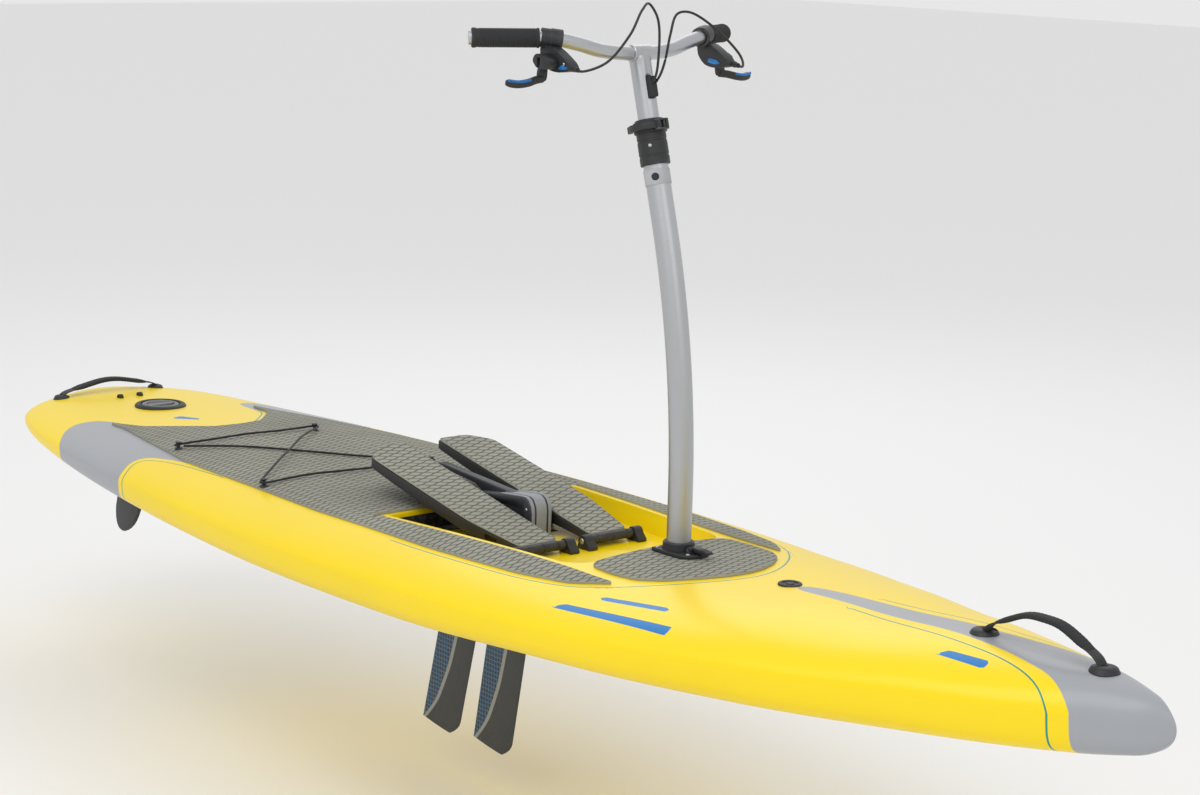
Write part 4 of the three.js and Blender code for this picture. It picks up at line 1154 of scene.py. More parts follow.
@dataclass
class DeckFittings:
    """Hatch, vent, eyes, handles, hooks and the elastic cord."""

    palette: Palette
    row: Row = field(default_factory=Row)
    hooks: tuple = ((-847, -228), (-800, 88), (-448, -274), (-405, 110))

    def handle(self, name: str, start: Point, end: Point, rise: float, peak: bool, tuck: float) -> Pieces:
        """A padded carrying strap: woven band with a moulded sleeve and stitched ends.

        Args:
            name: The strap's name stem.
            start: One end on the board.
            end: The other end.
            rise: Height of the arch.
            peak: Whether the arch comes to a soft peak.
            tuck: How far the ends drop into their caps.

        Returns:
            The strap, its sleeve and its stitches.
        """
        a, b = np.array(start, float), np.array(end, float)
        shares = [(0, 0), (0.14, 0.42), (0.34, 0.92), (0.5, 1.0), (0.66, 0.92), (0.86, 0.42), (1, 0)]
        if peak:
            shares = [(0, 0), (0.2, 0.5), (0.4, 0.93), (0.5, 1.0), (0.6, 0.93), (0.8, 0.5), (1, 0)]
        arch = [a + (b - a) * t + np.array((0, 0, rise * lift)) for t, lift in shares]
        run = (b - a) / np.linalg.norm(b - a)
        drop = np.array((0, 0, tuck))
        path = spline([a - run * 9 - drop, *arch, b + run * 9 - drop], 141)

        def band(_: float) -> Corners:
            return [(-11, -0.9), (-9, -1.3), (9, -1.3), (11, -0.9), (11, 0.9), (9, 1.3), (-9, 1.3),
                (-11, 0.9)]

        def sleeve(share: float) -> Corners:
            end_ease = min(1.0, min(share, 1 - share) * 9)
            wide = 8.5 + 3.6 * sqrt(end_ease)
            tall = 1.6 + 3.2 * sqrt(end_ease) + 0.2 * sin(share * 2 * pi * 26)
            return oval(wide, tall, 20, 0.45, 0.7)

        woven = dress(sweep(f"{name}_band", path, band, uv=True), self.palette.strap)
        cover = dress(sweep(f"{name}_sleeve", path[16:125], sleeve), self.palette.rubber)
        # Two rows of stitches run along the sleeve's crown.
        across = np.cross(b - a, (0, 0, 1))
        across /= np.linalg.norm(across)
        tops = path[26:115] + np.array((0, 0, 0.0044))
        rows = [self.row.along(f"{name}_stitches_{k}", tops + across * shift, stitch(), 0.0042,
            self.palette.thread) for k, shift in enumerate((-0.0058, 0.0058))]
        return [woven, cover, merge(f"{name}_stitches", rows)]

    def cap(self, name: str, x: float, y: float, radius: float, height: float, turn: float) -> Piece:
        """A strap-end cap: a low dome with a raised rim, a strap slot and a round screw seat.

        Args:
            name: Its name.
            x: Place along.
            y: Place across.
            radius: Radius.
            height: Height.
            turn: Direction of the strap in degrees.

        Returns:
            The cap.
        """
        z = Form.height(x, y)
        profile = [(-8, 0), (-8, radius), (-1.5, radius), (-0.3, radius - 0.8), (height - 7, radius - 3.5),
            (height - 5.2, radius - 6), (height - 4.1, radius - 10), (height - 4, radius - 13),
            (height - 4, 0)]
        dome = revolve(name, (x, y, z), (0, 0, 1), profile, 64)
        c, s = cos(radians(turn)), sin(radians(turn))
        slot = [(x + c * u - s * v, y + s * u + c * v) for u, v in ((6, -12.5), (radius + 2, -12.5),
            (radius + 2, 12.5), (6, 12.5))]
        cut(dome, [prism("slot", slot, z + height - 6.5, z + height + 9)])
        recess = revolve("seat", (x, y, z + height - 5.2), (0, 0, 1), [(0, 0), (0, 5.4), (6, 5.6), (6, 0)],
            32)
        cut(dome, [recess])
        return dress(bevel(dome, 0.0006, 2, 32), self.palette.black)

    @staticmethod
    def screw(name: str, at: Point, axis: Point, radius: float) -> Piece:
        """A pan head screw with a cross slot.

        Args:
            name: Its name.
            at: Centre of the head's seat.
            axis: Direction out of the head.
            radius: Head radius.

        Returns:
            The screw head.
        """
        profile = [(-2, 0), (-2, radius * 0.5), (0, radius * 0.5), (0, radius),
            (radius * 0.25, radius * 0.96), (radius * 0.5, radius * 0.7), (radius * 0.58, radius * 0.3),
            (radius * 0.6, 0)]
        head = revolve(name, at, axis, profile, 32)
        normal = Vector(axis).normalized()
        side = normal.orthogonal().normalized()
        other = normal.cross(side)
        for first, second in ((side, other), (other, side)):
            corners = []
            for level in (radius * 0.25, radius * 0.9):
                for a, b in ((-0.55, -0.1), (0.55, -0.1), (0.55, 0.1), (-0.55, 0.1)):
                    spot = Vector(at) + first * a * radius + second * b * radius + normal * level
                    corners.append(tuple(spot / 1000))
            cut(head, [mesh_object("bit", corners, [(0, 1, 2, 3), (7, 6, 5, 4), (0, 4, 5, 1), (1, 5, 6, 2),
                (2, 6, 7, 3), (3, 7, 4, 0)], False)])
        return head

    def hook_piece(self, name: str, x: float, y: float) -> Piece:
        """A cord hook: a round foot, a waisted post and a rounded head."""
        profile = [(-4, 0), (-4, 9), (1, 8.6), (2.4, 7.4), (2.8, 5), (4.5, 3.6), (8.5, 3.3), (12, 3.6),
            (13.2, 6.2), (14.4, 6.9), (15.6, 6), (16.2, 3.4), (16.3, 0)]
        return dress(revolve(name, (x, y, Form.height(x, y) + 5.2), (0, 0, 1), profile, 40),
            self.palette.black)

    def lacing(self) -> Piece:
        """The elastic cord, laced as a bow tie round the hooks.

        Returns:
            The cord.
        """
        points: list[Point] = []

        def turn(centre: tuple[float, float], first: float, last: float) -> None:
            for share in (0, 0.25, 0.5, 0.75, 1):
                angle = radians(first + (last - first) * share)
                points.append((centre[0] + 7.6 * cos(angle), centre[1] + 7.6 * sin(angle),
                    Form.height(*centre) + 14))

        def run(first: tuple[float, float], last: tuple[float, float], lift: float) -> None:
            for share in (0.25, 0.5, 0.75):
                x, y = (first[k] + (last[k] - first[k]) * share for k in (0, 1))
                points.append((x, y, Form.height(x, y) + 7.6 + lift))

        a, b, c, d = self.hooks
        turn(a, -53, -189)
        run(a, b, 4)
        turn(b, 171, 44)
        run(b, c, 12)
        turn(c, 224, 354)
        run(c, d, 4)
        turn(d, -6, 127)
        run(d, a, 2.5)
        points.append((a[0] + 14, a[1] + 4, Form.height(*a) + 14))
        path = spline(points, 900)
        return dress(sweep("lacing_cord", path, lambda _: oval(2.4, 2.4, 10), uv=True), self.palette.cord)

    def hatch(self) -> tuple[Pieces, Pieces]:
        """The hatch: a ribbed dark ring, and a lens with a recessed grip bar.

        Returns:
            Pieces of the ring, and pieces of the cover.
        """
        ring = revolve("hatch_rim", (-1300, 0, 0), (0, 0, 1), [(137, 45.2), (137, 58.6), (147.5, 58.9),
            (149.4, 58.2), (151.6, 55.6), (152.8, 52.6), (153, 50), (152.4, 49.4), (152.4, 47.6), (153, 47),
            (152.6, 45.6), (151.5, 45.2), (137, 45.2)], 128)
        dress(ring, self.palette.black)
        lens = revolve("hatch_disc", (-1300, 0, 0), (0, 0, 1), [(118, 0), (118, 43.5), (147.6, 43.8),
            (149.6, 43.2), (151.4, 41.4), (152.2, 39.6), (152.3, 35), (151.2, 33.8), (147, 32.6),
            (146.2, 31.4), (146, 0)], 128)
        bar = prism("bar", rect(-1304.6, -1295.4, -30.8, 30.8), 145, 151.6)
        bevel(bar, 0.0016, 3, 32)
        cover = dress(merge("hatch_disc", [lens, bar]), self.palette.lens)
        circle_path = np.array([(-1.3 + 0.0373 * cos(t), 0.0373 * sin(t), 0.1521) for t in np.linspace(0,
            2 * pi, 97)])
        beads = self.row.along("hatch_beads", circle_path, stitch(3.4, 1.1), 0.00976, self.palette.lens)
        return [ring], [cover, beads]

    def vent(self) -> Piece:
        """The vent plug: a low knurled knob with a central boss.

        Returns:
            The plug.
        """
        rim = revolve("vent_knob", (775, 0, 0), (0, 0, 1), [(164, 0), (164, 15.4), (176.3, 15.4),
            (176.4, 21.4), (178.4, 21.4), (180.4, 20.2), (181, 18.4), (180.6, 15), (178.6, 13.6),
            (178.5, 7.4), (180.3, 6.6), (180.5, 0)], 72)
        notches = []
        for k in range(18):
            angle = 2 * pi * k / 18
            notches.append(rod(f"notch_{k}", (775 + 22 * cos(angle), 22 * sin(angle), 177.4), (0, 0, 1), 5,
                1.5, 10))
        cut(rim, [merge("notches", notches)])
        return dress(rim, self.palette.black)

    def eye(self, name: str, y: float) -> Piece:
        """A small leash eye: a rounded block with a cross hole.

        Args:
            name: Its name.
            y: Place across.

        Returns:
            The eye.
        """
        z = Form.height(-1437, y)
        side = [(-1445.6, z - 4), (-1428.4, z - 4), (-1429.4, z + 4.5), (-1432.5, z + 8.2), (-1437, z + 9),
            (-1441.5, z + 8.2), (-1444.6, z + 4.5)]
        block = prism(name, side, y - 4.9, y + 4.9, "XZ")
        cut(block, [rod("hole", (-1437, y - 9, z + 4.2), (0, 1, 0), 18, 2.6, 24)])
        return dress(bevel(block, 0.0008, 2, 32), self.palette.black)


# --- pedals, drive, fins and rudder


@dataclass
class Pedals:
    """The two stepping pedals, their axles and bearing blocks."""

    palette: Palette
    axle: tuple[float, float] = (205.0, 134.0)
    slope: float = tan(radians(11.7))
    rear: float = 205.0 - 505.0 * cos(radians(11.7))

    def top(self, x: float) -> float:
        """Height of the tread at a place along."""
        return self.axle[1] + 8 + (self.axle[0] - x) * self.slope

    def outline(self, side: Side, inset: float) -> Corners:
        """The pedal from above, with softened corners.

        Args:
            side: Which pedal.
            inset: Margin inward.

        Returns:
            Corner points in millimetres.
        """
        x, rear = self.axle[0], self.rear + inset
        inner, outer = 38 + inset, 155 - inset
        points = [(x - 2, inner), (rear + 4, inner), (rear, inner + 8), (rear, outer - 42),
            (rear + 34, outer - 6), (rear + 46, outer), (62, outer), (x - 2, 131 - inset)]
        return [(a, side.value * b) for a, b in soften(points, 0.3)]

    def build(self, side: Side) -> tuple[Pieces, Piece]:
        """Builds one pedal.

        Args:
            side: Which pedal.

        Returns:
            The tray pieces and the tread.
        """
        s, (ax, az) = side.value, self.axle
        low = lambda x: self.top(x) - 5.3
        rear = self.rear - 4
        profile = [(ax + 4, low(ax + 4)), (rear, low(rear)), (rear, low(rear) - 15), (-180, low(-180) - 20),
            (-60, low(-60) - 23), (80, low(80) - 21), (160, az - 2), (ax + 4, az - 8)]
        tray = prism(f"pedal_shell_{side.label}", profile, -200, 200, "XZ")
        cut(tray, [prism("plan", self.outline(side, 0), 80, 300)], "INTERSECT")
        # The shell is hollow from below between its ribs.
        cutters = []
        edges = [rear + 14, -190, -100, -10, 80, 140]
        for a, b in zip(edges, edges[1:]):
            inner, outer = (46, 112) if a < -200 else (46, 147)
            hollow = [(a + 2, low(a + 2) - 6), (a + 2, 60), (b - 2, 60), (b - 2, low(b - 2) - 6)]
            cutters.append(prism("hollow", hollow, *side.span(inner, outer), "XZ"))
        cut(tray, cutters)
        bevel(tray, 0.0022, 3, 40)
        barrel = revolve("barrel", (ax, s * 34, az), (0, s, 0), [(0, 5.9), (0, 8.4), (0.8, 9), (99, 9),
            (100, 8.4), (100, 5.9), (0, 5.9)], 48)
        bands = [revolve("band", (ax, s * y, az), (0, s, 0), [(0, 5.9), (0, 9.5), (2.4, 9.5), (2.4, 5.9),
            (0, 5.9)], 48) for y in (48, 84, 120)]
        shell = merge(f"pedal_shell_{side.label}", [tray, barrel, *bands])
        dress(shell, self.palette.black)
        front = ax - 10
        face = [(front, self.top(front)), (rear, self.top(rear)), (rear, self.top(rear) - 5),
            (front, self.top(front) - 5)]
        tread = prism(f"pedal_foam_{side.label}", face, -200, 200, "XZ")
        cut(tread, [prism("plan", self.outline(side, 2.0), 80, 300)], "INTERSECT")
        bevel(tread, 0.002)
        return [shell], dress(tread, self.palette.foam)

    def axle_pieces(self, side: Side) -> tuple[Piece, Pieces]:
        """The axle rod and its two bearing blocks.

        Args:
            side: Which pedal.

        Returns:
            The rod, and the inner and outer blocks.
        """
        s, (ax, az) = side.value, self.axle
        shaft = revolve(f"axle_rod_{side.label}", (ax, s * 10, az), (0, s, 0),
            [(0, 0), (0, 4.6), (0.9, 5.5), (147.1, 5.5), (148, 4.6), (148, 0)], 40)
        blocks = []
        for label, first, last in (("inner", 12, 33), ("outer", 136, 156)):
            side_view = [(ax - 14, 118.3), (ax + 22, 118.3), (ax + 22, 124), (ax + 12, az + 1)]
            side_view += [(ax + 11.5 * cos(t), az + 11.5 * sin(t)) for t in np.linspace(0.2, pi - 0.2, 16)]
            side_view += [(ax - 13, az - 1)]
            block = prism(f"axle_block_{label}_{side.label}", side_view, *side.span(first, last), "XZ")
            bore = rod("bore", (ax, s * (first - 5), az), (0, s, 0), 40, 5.8, 40)
            waist = prism("waist", [(ax - 20, 126), (ax - 11.8, 127), (ax - 11.8, 140), (ax - 20, 140)],
                *side.span(first, last), "XZ")
            cut(block, [bore, waist])
            blocks.append(dress(bevel(block, 0.0012), self.palette.black))
        return dress(shaft, self.palette.steel), blocks


@dataclass
class Drive:
    """The drive frame, rockers, shafts, fins, latches and rudder."""

    palette: Palette

    def frame(self) -> Pieces:
        """The drive's housing with grey stripes over its nose and its tail arm.

        Returns:
            The housing and its stripes.
        """
        core = [(-100, 30), (90, 30), (96, 60), (97, 170), (95, 183), (88, 194), (78, 199), (66, 199),
            (20, 195), (-70, 184), (-92, 178), (-100, 168)]
        body = prism("drive_housing", core, -27, 27, "XZ")
        bevel(body, 0.006, 4, 40)
        panel = [(-80, 60), (70, 60), (78, 120), (70, 176), (20, 178), (-80, 162)]
        for low, high in ((-30, -24.5), (24.5, 30)):
            cut(body, [prism("panel", panel, low, high, "XZ")])
        ribs = [prism("rib", [(x, 72), (x + 6, 72), (x + 10, 156), (x + 4, 156)], -26.2, 26.2, "XZ")
            for x in range(-58, 50, 22)]
        tail = prism("tail", [(20, 186), (20, 195), (-200, 211), (-224, 211), (-224, 204), (-100, 192),
            (-70, 176)], -10, 10, "XZ")
        bevel(tail, 0.0025, 3, 40)
        beam = prism("beam", rect(-186, 96, 40, 60), -18, 18, "XZ")
        legs = []
        for a, b in ((-186, -174), (-64, -52), (90, 96)):
            leg = prism("leg", rect(a, b, -4, 60), -8.5, 8.5, "XZ")
            ring = revolve("ring", (a, 0, -4), (1, 0, 0), [(0, 5.4), (0, 9.2), (b - a, 9.2), (b - a, 5.4),
                (0, 5.4)], 40)
            cut(leg, [rod("bore", (a - 2, 0, -4), (1, 0, 0), 20, 5.4, 32)])
            legs += [leg, ring]
        bevel(beam, 0.002)
        housing = dress(merge("drive_housing", [body, *ribs, tail, beam, *legs]), self.palette.frame)
        stripes = []
        for k, (y0, y1) in enumerate(((-24, -17), (-12.5, 12.5), (17, 24))):
            outer = [(0, 193.6), (66, 199.6), (79, 199.6), (89, 194.6), (96, 183.4), (98, 170), (97.2, 100),
                (95.6, 100), (96.2, 170), (94, 182), (87, 192.6), (78, 198), (66, 198), (0, 192)]
            stripe = prism(f"stripe_{k}", outer, y0, y1, "XZ")
            stripes.append(bevel(stripe, 0.0005))
        grey = dress(merge("drive_stripes", stripes), self.palette.stripe)
        screws = [DeckFittings.screw(f"frame_screw_{k}", (x, side * 27.2, z), (0, side, 0), 3.6)
            for side in (-1, 1) for k, (x, z) in enumerate(((-88, 150), (84, 176), (84, 130)))]
        heads = dress(merge("drive_screws", screws), self.palette.steel)
        return [housing, grey, heads]

    def liner(self) -> Piece:
        """The black lining of the well: a ribbed back wall and a rim on the recess floor. Above the floor
        the back wall is a dark sheet of painted shade over the recess's rear wall.

        Returns:
            The lining, with its painted shade.
        """
        # The back wall reaches 143 mm, past the recess floor at 118 mm; that upper part is painted shade on
        # the recess's rear wall.
        wall = prism("well_liner", [(-199, 64), (199, 64), (199, 139), (192, 143), (-192, 143),
            (-199, 139)], -109.9, -108.6, "YZ")
        parts = [wall]
        for s in (-1, 1):
            low, high = sorted((s * 71, s * 199))
            parts.append(prism("rim", rect(-89.9, -56, low, high), 118.05, 119.4))
            parts += [prism("rib", rect(-108.7, -107.4, s * y - 2, s * y + 2), 66, 138) for y in range(80,
                198, 22)]
        return dress(merge("well_liner", parts), self.palette.black)

    def rocker(self, side: Side) -> Pieces:
        """One rocker: a ribbed arm with a bearing bar.

        Args:
            side: Which rocker.

        Returns:
            The arm and its bar.
        """
        x, z, rx, rz, s = 30, 100, -85, 161.5, side.value
        arm = [(x - 14, z - 10), (x + 6, z - 12), (x + 14, z - 2), (x + 10, z + 12), (rx + 20, rz - 2),
            (rx - 2, rz + 6), (rx - 8, rz - 2), (rx, rz - 9), (x - 50, z + 8)]
        plate = prism(f"rocker_arm_{side.label}", soften(arm, 0.3), *side.span(28, 42), "XZ")
        cut(plate, [rod("bore", (x, s * 20, z), (0, s, 0), 60, 8.3, 40)])
        pocket = [(x - 22, z + 4), (x - 8, z + 16), (rx + 26, rz - 12), (rx + 14, rz - 14)]
        cut(plate, [prism("pocket", pocket, *side.span(37, 46), "XZ")])
        bevel(plate, 0.0012)
        roller = revolve("roller", (rx, s * 28.5, rz), (0, s, 0), [(0, 0), (0, 9), (1, 10), (36, 10),
            (37, 9), (37, 0)], 40)
        return [dress(merge(f"rocker_arm_{side.label}", [plate, roller]), self.palette.frame)]

    def shafts(self) -> tuple[Piece, Piece]:
        """The rocker shaft and the fin shaft.

        Returns:
            Both shafts.
        """
        rocker = revolve("rocker_pin", (30, -50, 100), (0, 1, 0), [(0, 0), (0, 6.8), (1.2, 8), (98.8, 8),
            (100, 6.8), (100, 0)], 40)
        fin = revolve("fin_rod", (-190, 0, -4), (1, 0, 0), [(0, 0), (0, 4.2), (0.8, 5), (286.2, 5),
            (287, 4.2), (287, 0)], 32)
        return dress(rocker, self.palette.steel), dress(fin, self.palette.steel)

    def fin(self, name: str, lead: float, rake: float) -> Pieces:
        """A raked blade of lens section with a printed panel, and its hub.

        Args:
            name: The fin's name.
            lead: Leading edge at the root.
            rake: Sweep-back to the tip.

        Returns:
            The blade and the hub.
        """
        root, tip, chord = -16.0, -345.0, 122.0
        rows, count = 42, 26
        points = []
        for i in range(rows + 1):
            v = i / rows
            z = root + (tip - root) * v
            x_lead = lead - rake * v
            x_trail = lead - chord - rake * v
            if v > 0.9:
                # The tip's leading corner is rounded and its lower edge slopes.
                round_off = ((v - 0.9) / 0.1) ** 2.2
                x_lead -= 27 * round_off
            thick = 12 * (1 - 0.5 * v)
            for k in range(2 * count):
                u = k / count if k <= count else 2 - k / count
                side = 1 if k <= count else -1
                share = 0.5 - 0.5 * cos(pi * u)
                x = x_lead + (x_trail - x_lead) * share
                half = thick * 0.5 * 1.02 * (sqrt(share) * 1.35 * (1 - share) + 0.22 * (1 - share) * share
                    * 4 + 0.055)
                half *= 1 if 0 < u < 1 else 0.35
                lift = 15 * share * max(0.0, (v - 0.955) / 0.045)
                points.append((x / 1000, side * half / 1000, (z + lift) / 1000))
        n = 2 * count
        faces = [[i * n + k, i * n + (k + 1) % n, (i + 1) * n + (k + 1) % n, (i + 1) * n + k]
            for i in range(rows) for k in range(n)]
        for base in (0, rows * n):
            for k in range(count):
                a, b = base + k, base + k + 1
                c, d = base + (n - k - 1) % n, base + (n - k) % n
                faces.append(list(dict.fromkeys([a, b, c, d])))
        blade = mesh_object(f"{name}_foil", points, [f for f in faces if len(f) > 2], sharp=50)
        p = board_points(blade) * 1000
        # The sweep line runs from the middle of the root to the lower trailing corner.
        v = np.clip((root - p[:, 2]) / (root - tip), 0, 1)
        trail = lead - chord - rake * v
        line = chord * (0.6 - 0.25 * v * v - 0.4 * np.maximum(0.0, v - 0.55) ** 1.2 - 2.2 * np.maximum(0.0,
            v - 0.78) ** 1.6)
        paint(blade, "panel", (line - (p[:, 0] - trail)) / 1000)
        dress(blade, self.palette.fin)
        barrel = revolve(f"{name}_barrel", (lead - 95, 0, -4), (1, 0, 0), [(0, 5.4), (0, 10), (1.2, 11),
            (20, 11), (21, 10.2), (27, 10.2), (28, 11), (61, 11), (62, 10.2), (68, 10.2), (69, 11),
            (87.8, 11), (89, 10), (89, 5.4), (0, 5.4)], 48)
        neck = prism("neck", [(lead - 90, -15.7), (lead - 10, -15.7), (lead - 12, -12), (lead - 88, -12)],
            -3.4, 3.4, "XZ")
        hub = merge(f"{name}_barrel", [barrel, neck])
        return [blade, dress(hub, self.palette.frame)]

    def latch(self, side: Side) -> Piece:
        """A turn-button beside the well.

        Args:
            side: Which latch.

        Returns:
            The latch.
        """
        x, y, floor = 12, side.value * 88, 118
        knob = revolve("knob", (x, y, floor), (0, 0, 1), [(0.4, 0), (0.4, 9), (6, 8.8), (8.4, 8),
            (9.6, 6.4), (10, 4.5), (9.2, 3.4), (9.1, 0)], 40)
        bar = prism("bar", [(x - 28, y - 3.6), (x - 25, y - 5), (x + 8, y - 5), (x + 8, y + 5),
            (x - 25, y + 5), (x - 28, y + 3.6)], floor + 3, floor + 8.6)
        bevel(bar, 0.0014, 3, 40)
        return dress(merge(f"drive_button_{side.label}", [knob, bar]), self.palette.black)

    def rudder(self) -> tuple[Piece, Piece]:
        """The rudder blade with its stock, and the bearing tube.

        Returns:
            The rudder and the bearing.
        """
        x = -1402
        heel = bend((x + 26, -60), (x + 6, -166), (x - 62, -186), np.linspace(0, 1, 10))
        heel += bend((x - 62, -186), (x - 104, -190), (x - 98, -130), np.linspace(0.12, 1, 8))
        side = [(x + 40, 48), *heel, (x - 52, 40)]
        blade = prism("rudder_foil", side, -5, 5, "XZ")
        bevel(blade, 0.0036, 4, 40)
        stock = revolve("stock", (x, 0, 30), (0, 0, 1), [(0, 0), (0, 6), (61, 6), (62, 5), (62, 0)], 32)
        tube = revolve("bearing_tube", (x, 0, 0), (0, 0, 1), [(52, 6.4), (52, 9), (108, 9), (108, 0),
            (94, 0), (94, 6.4), (52, 6.4)], 40)
        return (dress(merge("rudder_foil", [blade, stock]), self.palette.frame),
            dress(tube, self.palette.black))


# --- column and handlebar


@dataclass
class Column:
    """The bent column, its foot, label band, collar and quick-release lever."""

    palette: Palette
    lean: float = radians(15.5)

    @property
    def bend_end(self) -> np.ndarray:
        """End of the bend, in millimetres."""
        return np.array((488 - 1800 * (1 - cos(self.lean)), 0.0, 280 + 1800 * sin(self.lean)))

    @property
    def axis(self) -> np.ndarray:
        """Direction of the straight top."""
        return np.array((-sin(self.lean), 0.0, cos(self.lean)))

    def at(self, s: float) -> Point:
        """A point on the top axis, a distance above the bend."""
        return tuple(self.bend_end + self.axis * s)

    def local(self, piece: Piece, s: float, beside: Point = (0, 0, 0)) -> Piece:
        """Moves a mesh drawn round the origin to a place on the top axis, leaning with it.

        Args:
            piece: A piece drawn about the board's own origin.
            s: Distance above the bend.
            beside: Step from the axis.

        Returns:
            The same piece.
        """
        shift = Matrix.Translation(Vector(ORIGIN))
        turn = Matrix.Rotation(-self.lean, 4, "Y")
        move = Matrix.Translation((Vector(self.at(s)) + Vector(beside)) / 1000 - Vector(ORIGIN))
        piece.data.transform(move @ turn @ shift)
        return piece

    def tube(self) -> Piece:
        """The column: a thick tube that bends aft.

        Returns:
            The tube.
        """
        path = [(488, 0, 124 + k * 39) for k in range(5)]
        path += [(488 - 1800 * (1 - cos(a)), 0, 280 + 1800 * sin(a)) for a in np.linspace(self.lean / 16,
            self.lean, 16)]
        path += [self.at(s) for s in (32, 64, 96, 128)]
        line = spline(path, 120)
        outer = sweep("column_tube", line, lambda t: oval(*[22.5 - (0.8 if t in (0.0, 1.0) else 0)] * 2,
            56), (1, 0, 0.01))
        bore = rod("bore", self.at(-12), self.axis, 160, 20.6, 56)
        cut(outer, [bore])
        return dress(outer, self.palette.satin)

    def label(self) -> Pieces:
        """The label band with a plain round badge.

        Returns:
            The band and the badge.
        """
        band = revolve("column_sleeve", self.at(72), self.axis, [(0, 22.8), (0, 23.4), (0.4, 23.8),
            (27.6, 23.8), (28, 23.4), (28, 22.8), (0, 22.8)], 64)
        rows = [revolve("ring", self.at(72 + k), self.axis, [(0, 23), (0, 24), (0.8, 24), (0.8, 23),
            (0, 23)], 64) for k in (2.2, 25)]
        sleeve = dress(merge("column_sleeve", [band, *rows]), self.palette.label)
        at = np.array(self.at(86)) + np.array((0.62, -0.78, 0.17)) * 23.6
        badge = revolve("column_badge", tuple(at), (0.62, -0.78, 0.17), [(-1.6, 0), (-1.6, 7), (0.1, 7),
            (0.5, 6.5), (0.5, 5.4), (0.15, 5.2), (0.15, 3), (0.5, 2.6), (0.5, 0)], 40)
        return [sleeve, dress(badge, self.palette.cable)]

    def collar(self) -> Pieces:
        """The clamp collar: a ribbed sleeve, a flange, a split lug and screws.

        Returns:
            The collar and its bright parts.
        """
        profile = [(108, 22.9), (108, 26.2), (108.8, 27), (122, 27), (123, 26.2), (126, 26.2), (127, 27),
            (150, 26.8), (151, 26), (154, 26), (155, 26.8), (165, 26.7), (166, 29.4), (167, 30), (185, 30),
            (186, 29.4), (187, 26.2), (189.2, 26), (190, 25), (190, 19.7), (128.3, 19.7), (128.3, 22.9),
            (108, 22.9)]
        sleeve = revolve("clamp_collar", self.bend_end, self.axis, profile, 72)
        slit = prism("slit", rect(20, 60, -1.2, 1.2), -16, 16)
        lug = prism("lug", soften(rect(24, 44, -5, 9), 0.3), -7, 7)
        plates = [prism("plate", soften(rect(30, 44, -18, 9), 0.3), z, z + 2.9) for z in (-9.5, 6.6)]
        pin = rod("pin", (38, -13, -9.6), (0, 0, 1), 19.2, 2.5, 24)
        bevel(lug, 0.001)
        for piece in (lug, slit, pin, *plates):
            self.local(piece, 176)
        cut(lug, [slit])
        cut(lug, [rod("core", self.at(150), self.axis, 60, 25, 48)])
        collar = dress(merge("clamp_collar", [sleeve, lug, *plates]), self.palette.black)
        screw = DeckFittings.screw("collar_screw", (27.2 * 0.62, -27.2 * 0.78, -34), (0.62, -0.78, 0), 3.4)
        self.local(screw, 176)
        bright = dress(merge("collar_pin", [pin, screw]), self.palette.steel)
        return [collar, bright]

    def lever(self) -> Piece:
        """The quick-release lever round the flange.

        Returns:
            The lever.
        """
        inner, outer = 31.5, 38.0
        angles = [radians(a) for a in np.linspace(-22, -140, 33)]
        shape = []
        for i, angle in enumerate(angles):
            swell = 1.6 * sin(pi * i / 32) + (2.4 if i > 29 else 0)
            shape.append(((outer + swell) * cos(angle), (outer + swell) * sin(angle)))
        shape += [(inner * cos(a), inner * sin(a)) for a in reversed(angles)]
        blade = prism("quick_lever", shape, -6, 6)
        ear = prism("ear", soften(rect(32, 43, -17, -9), 0.3), -6, 6)
        cut(blade, [ear], "UNION")
        cut(blade, [rod("hole", (38, -13, -12), (0, 0, 1), 24, 2.8, 24)])
        bevel(blade, 0.0014, 3, 40)
        return dress(self.local(blade, 176), self.palette.black)

    def foot(self) -> Pieces:
        """The plate round the column's foot with its boss, lugs and screws.

        Returns:
            The plate and its screws.
        """
        nose = [(520 + 30 * sin(t), -34 * cos(t)) for t in np.linspace(0, pi, 17)]
        plate = prism("foot_plate", [(452, -34), *nose, (452, 34)], 174.4, 182)
        bevel(plate, 0.0018, 3, 40)
        boss = revolve("boss", (488, 0, 0), (0, 0, 1), [(175, 22.9), (175, 30), (184, 29.6), (190, 28.9),
            (194, 28.6), (196, 27), (196, 24), (195, 22.9), (175, 22.9)], 64)
        cut(plate, [rod("hole", (488, 0, 150), (0, 0, 1), 60, 23, 56)])
        lugs = []
        for y in (-12, 8):
            lug = prism("lug", [(521, 176), (534, 176), (534, 189), (531, 192), (525, 192), (521, 189)], y,
                y + 4, "XZ")
            cut(lug, [rod("pin", (528, y - 2, 188), (0, 1, 0), 8, 2.3, 20)])
            lugs.append(lug)
        piece = dress(merge("foot_plate", [plate, boss, *lugs]), self.palette.black)
        screws = [DeckFittings.screw(f"foot_screw_{k}", (x, y, 182), (0, 0, 1), 4.2) for k,
            (x, y) in enumerate(((535, -20), (535, 20), (460, -26), (460, 26)))]
        return [piece, dress(merge("foot_screws", screws), self.palette.steel)]

    def latch(self) -> Piece:
        """The toggle at the column's foot.

        Returns:
            The toggle.
        """
        side = [(524, 186), (529, 184.5), (548, 184.6), (566, 185), (571, 187), (572, 189), (570, 191),
            (566, 192), (532, 193), (525, 192)]
        blade = prism("foot_toggle", side, -7, 7, "XZ")
        grooves = [prism("groove", rect(x, x + 1.4, 190.9, 196), -8, 8, "XZ") for x in (552, 556, 560, 564)]
        cut(blade, grooves)
        bevel(blade, 0.0009)
        pin = rod("pin", (528, -12, 188), (0, 1, 0), 24, 2, 20)
        return dress(merge("foot_toggle", [blade, pin]), self.palette.black)


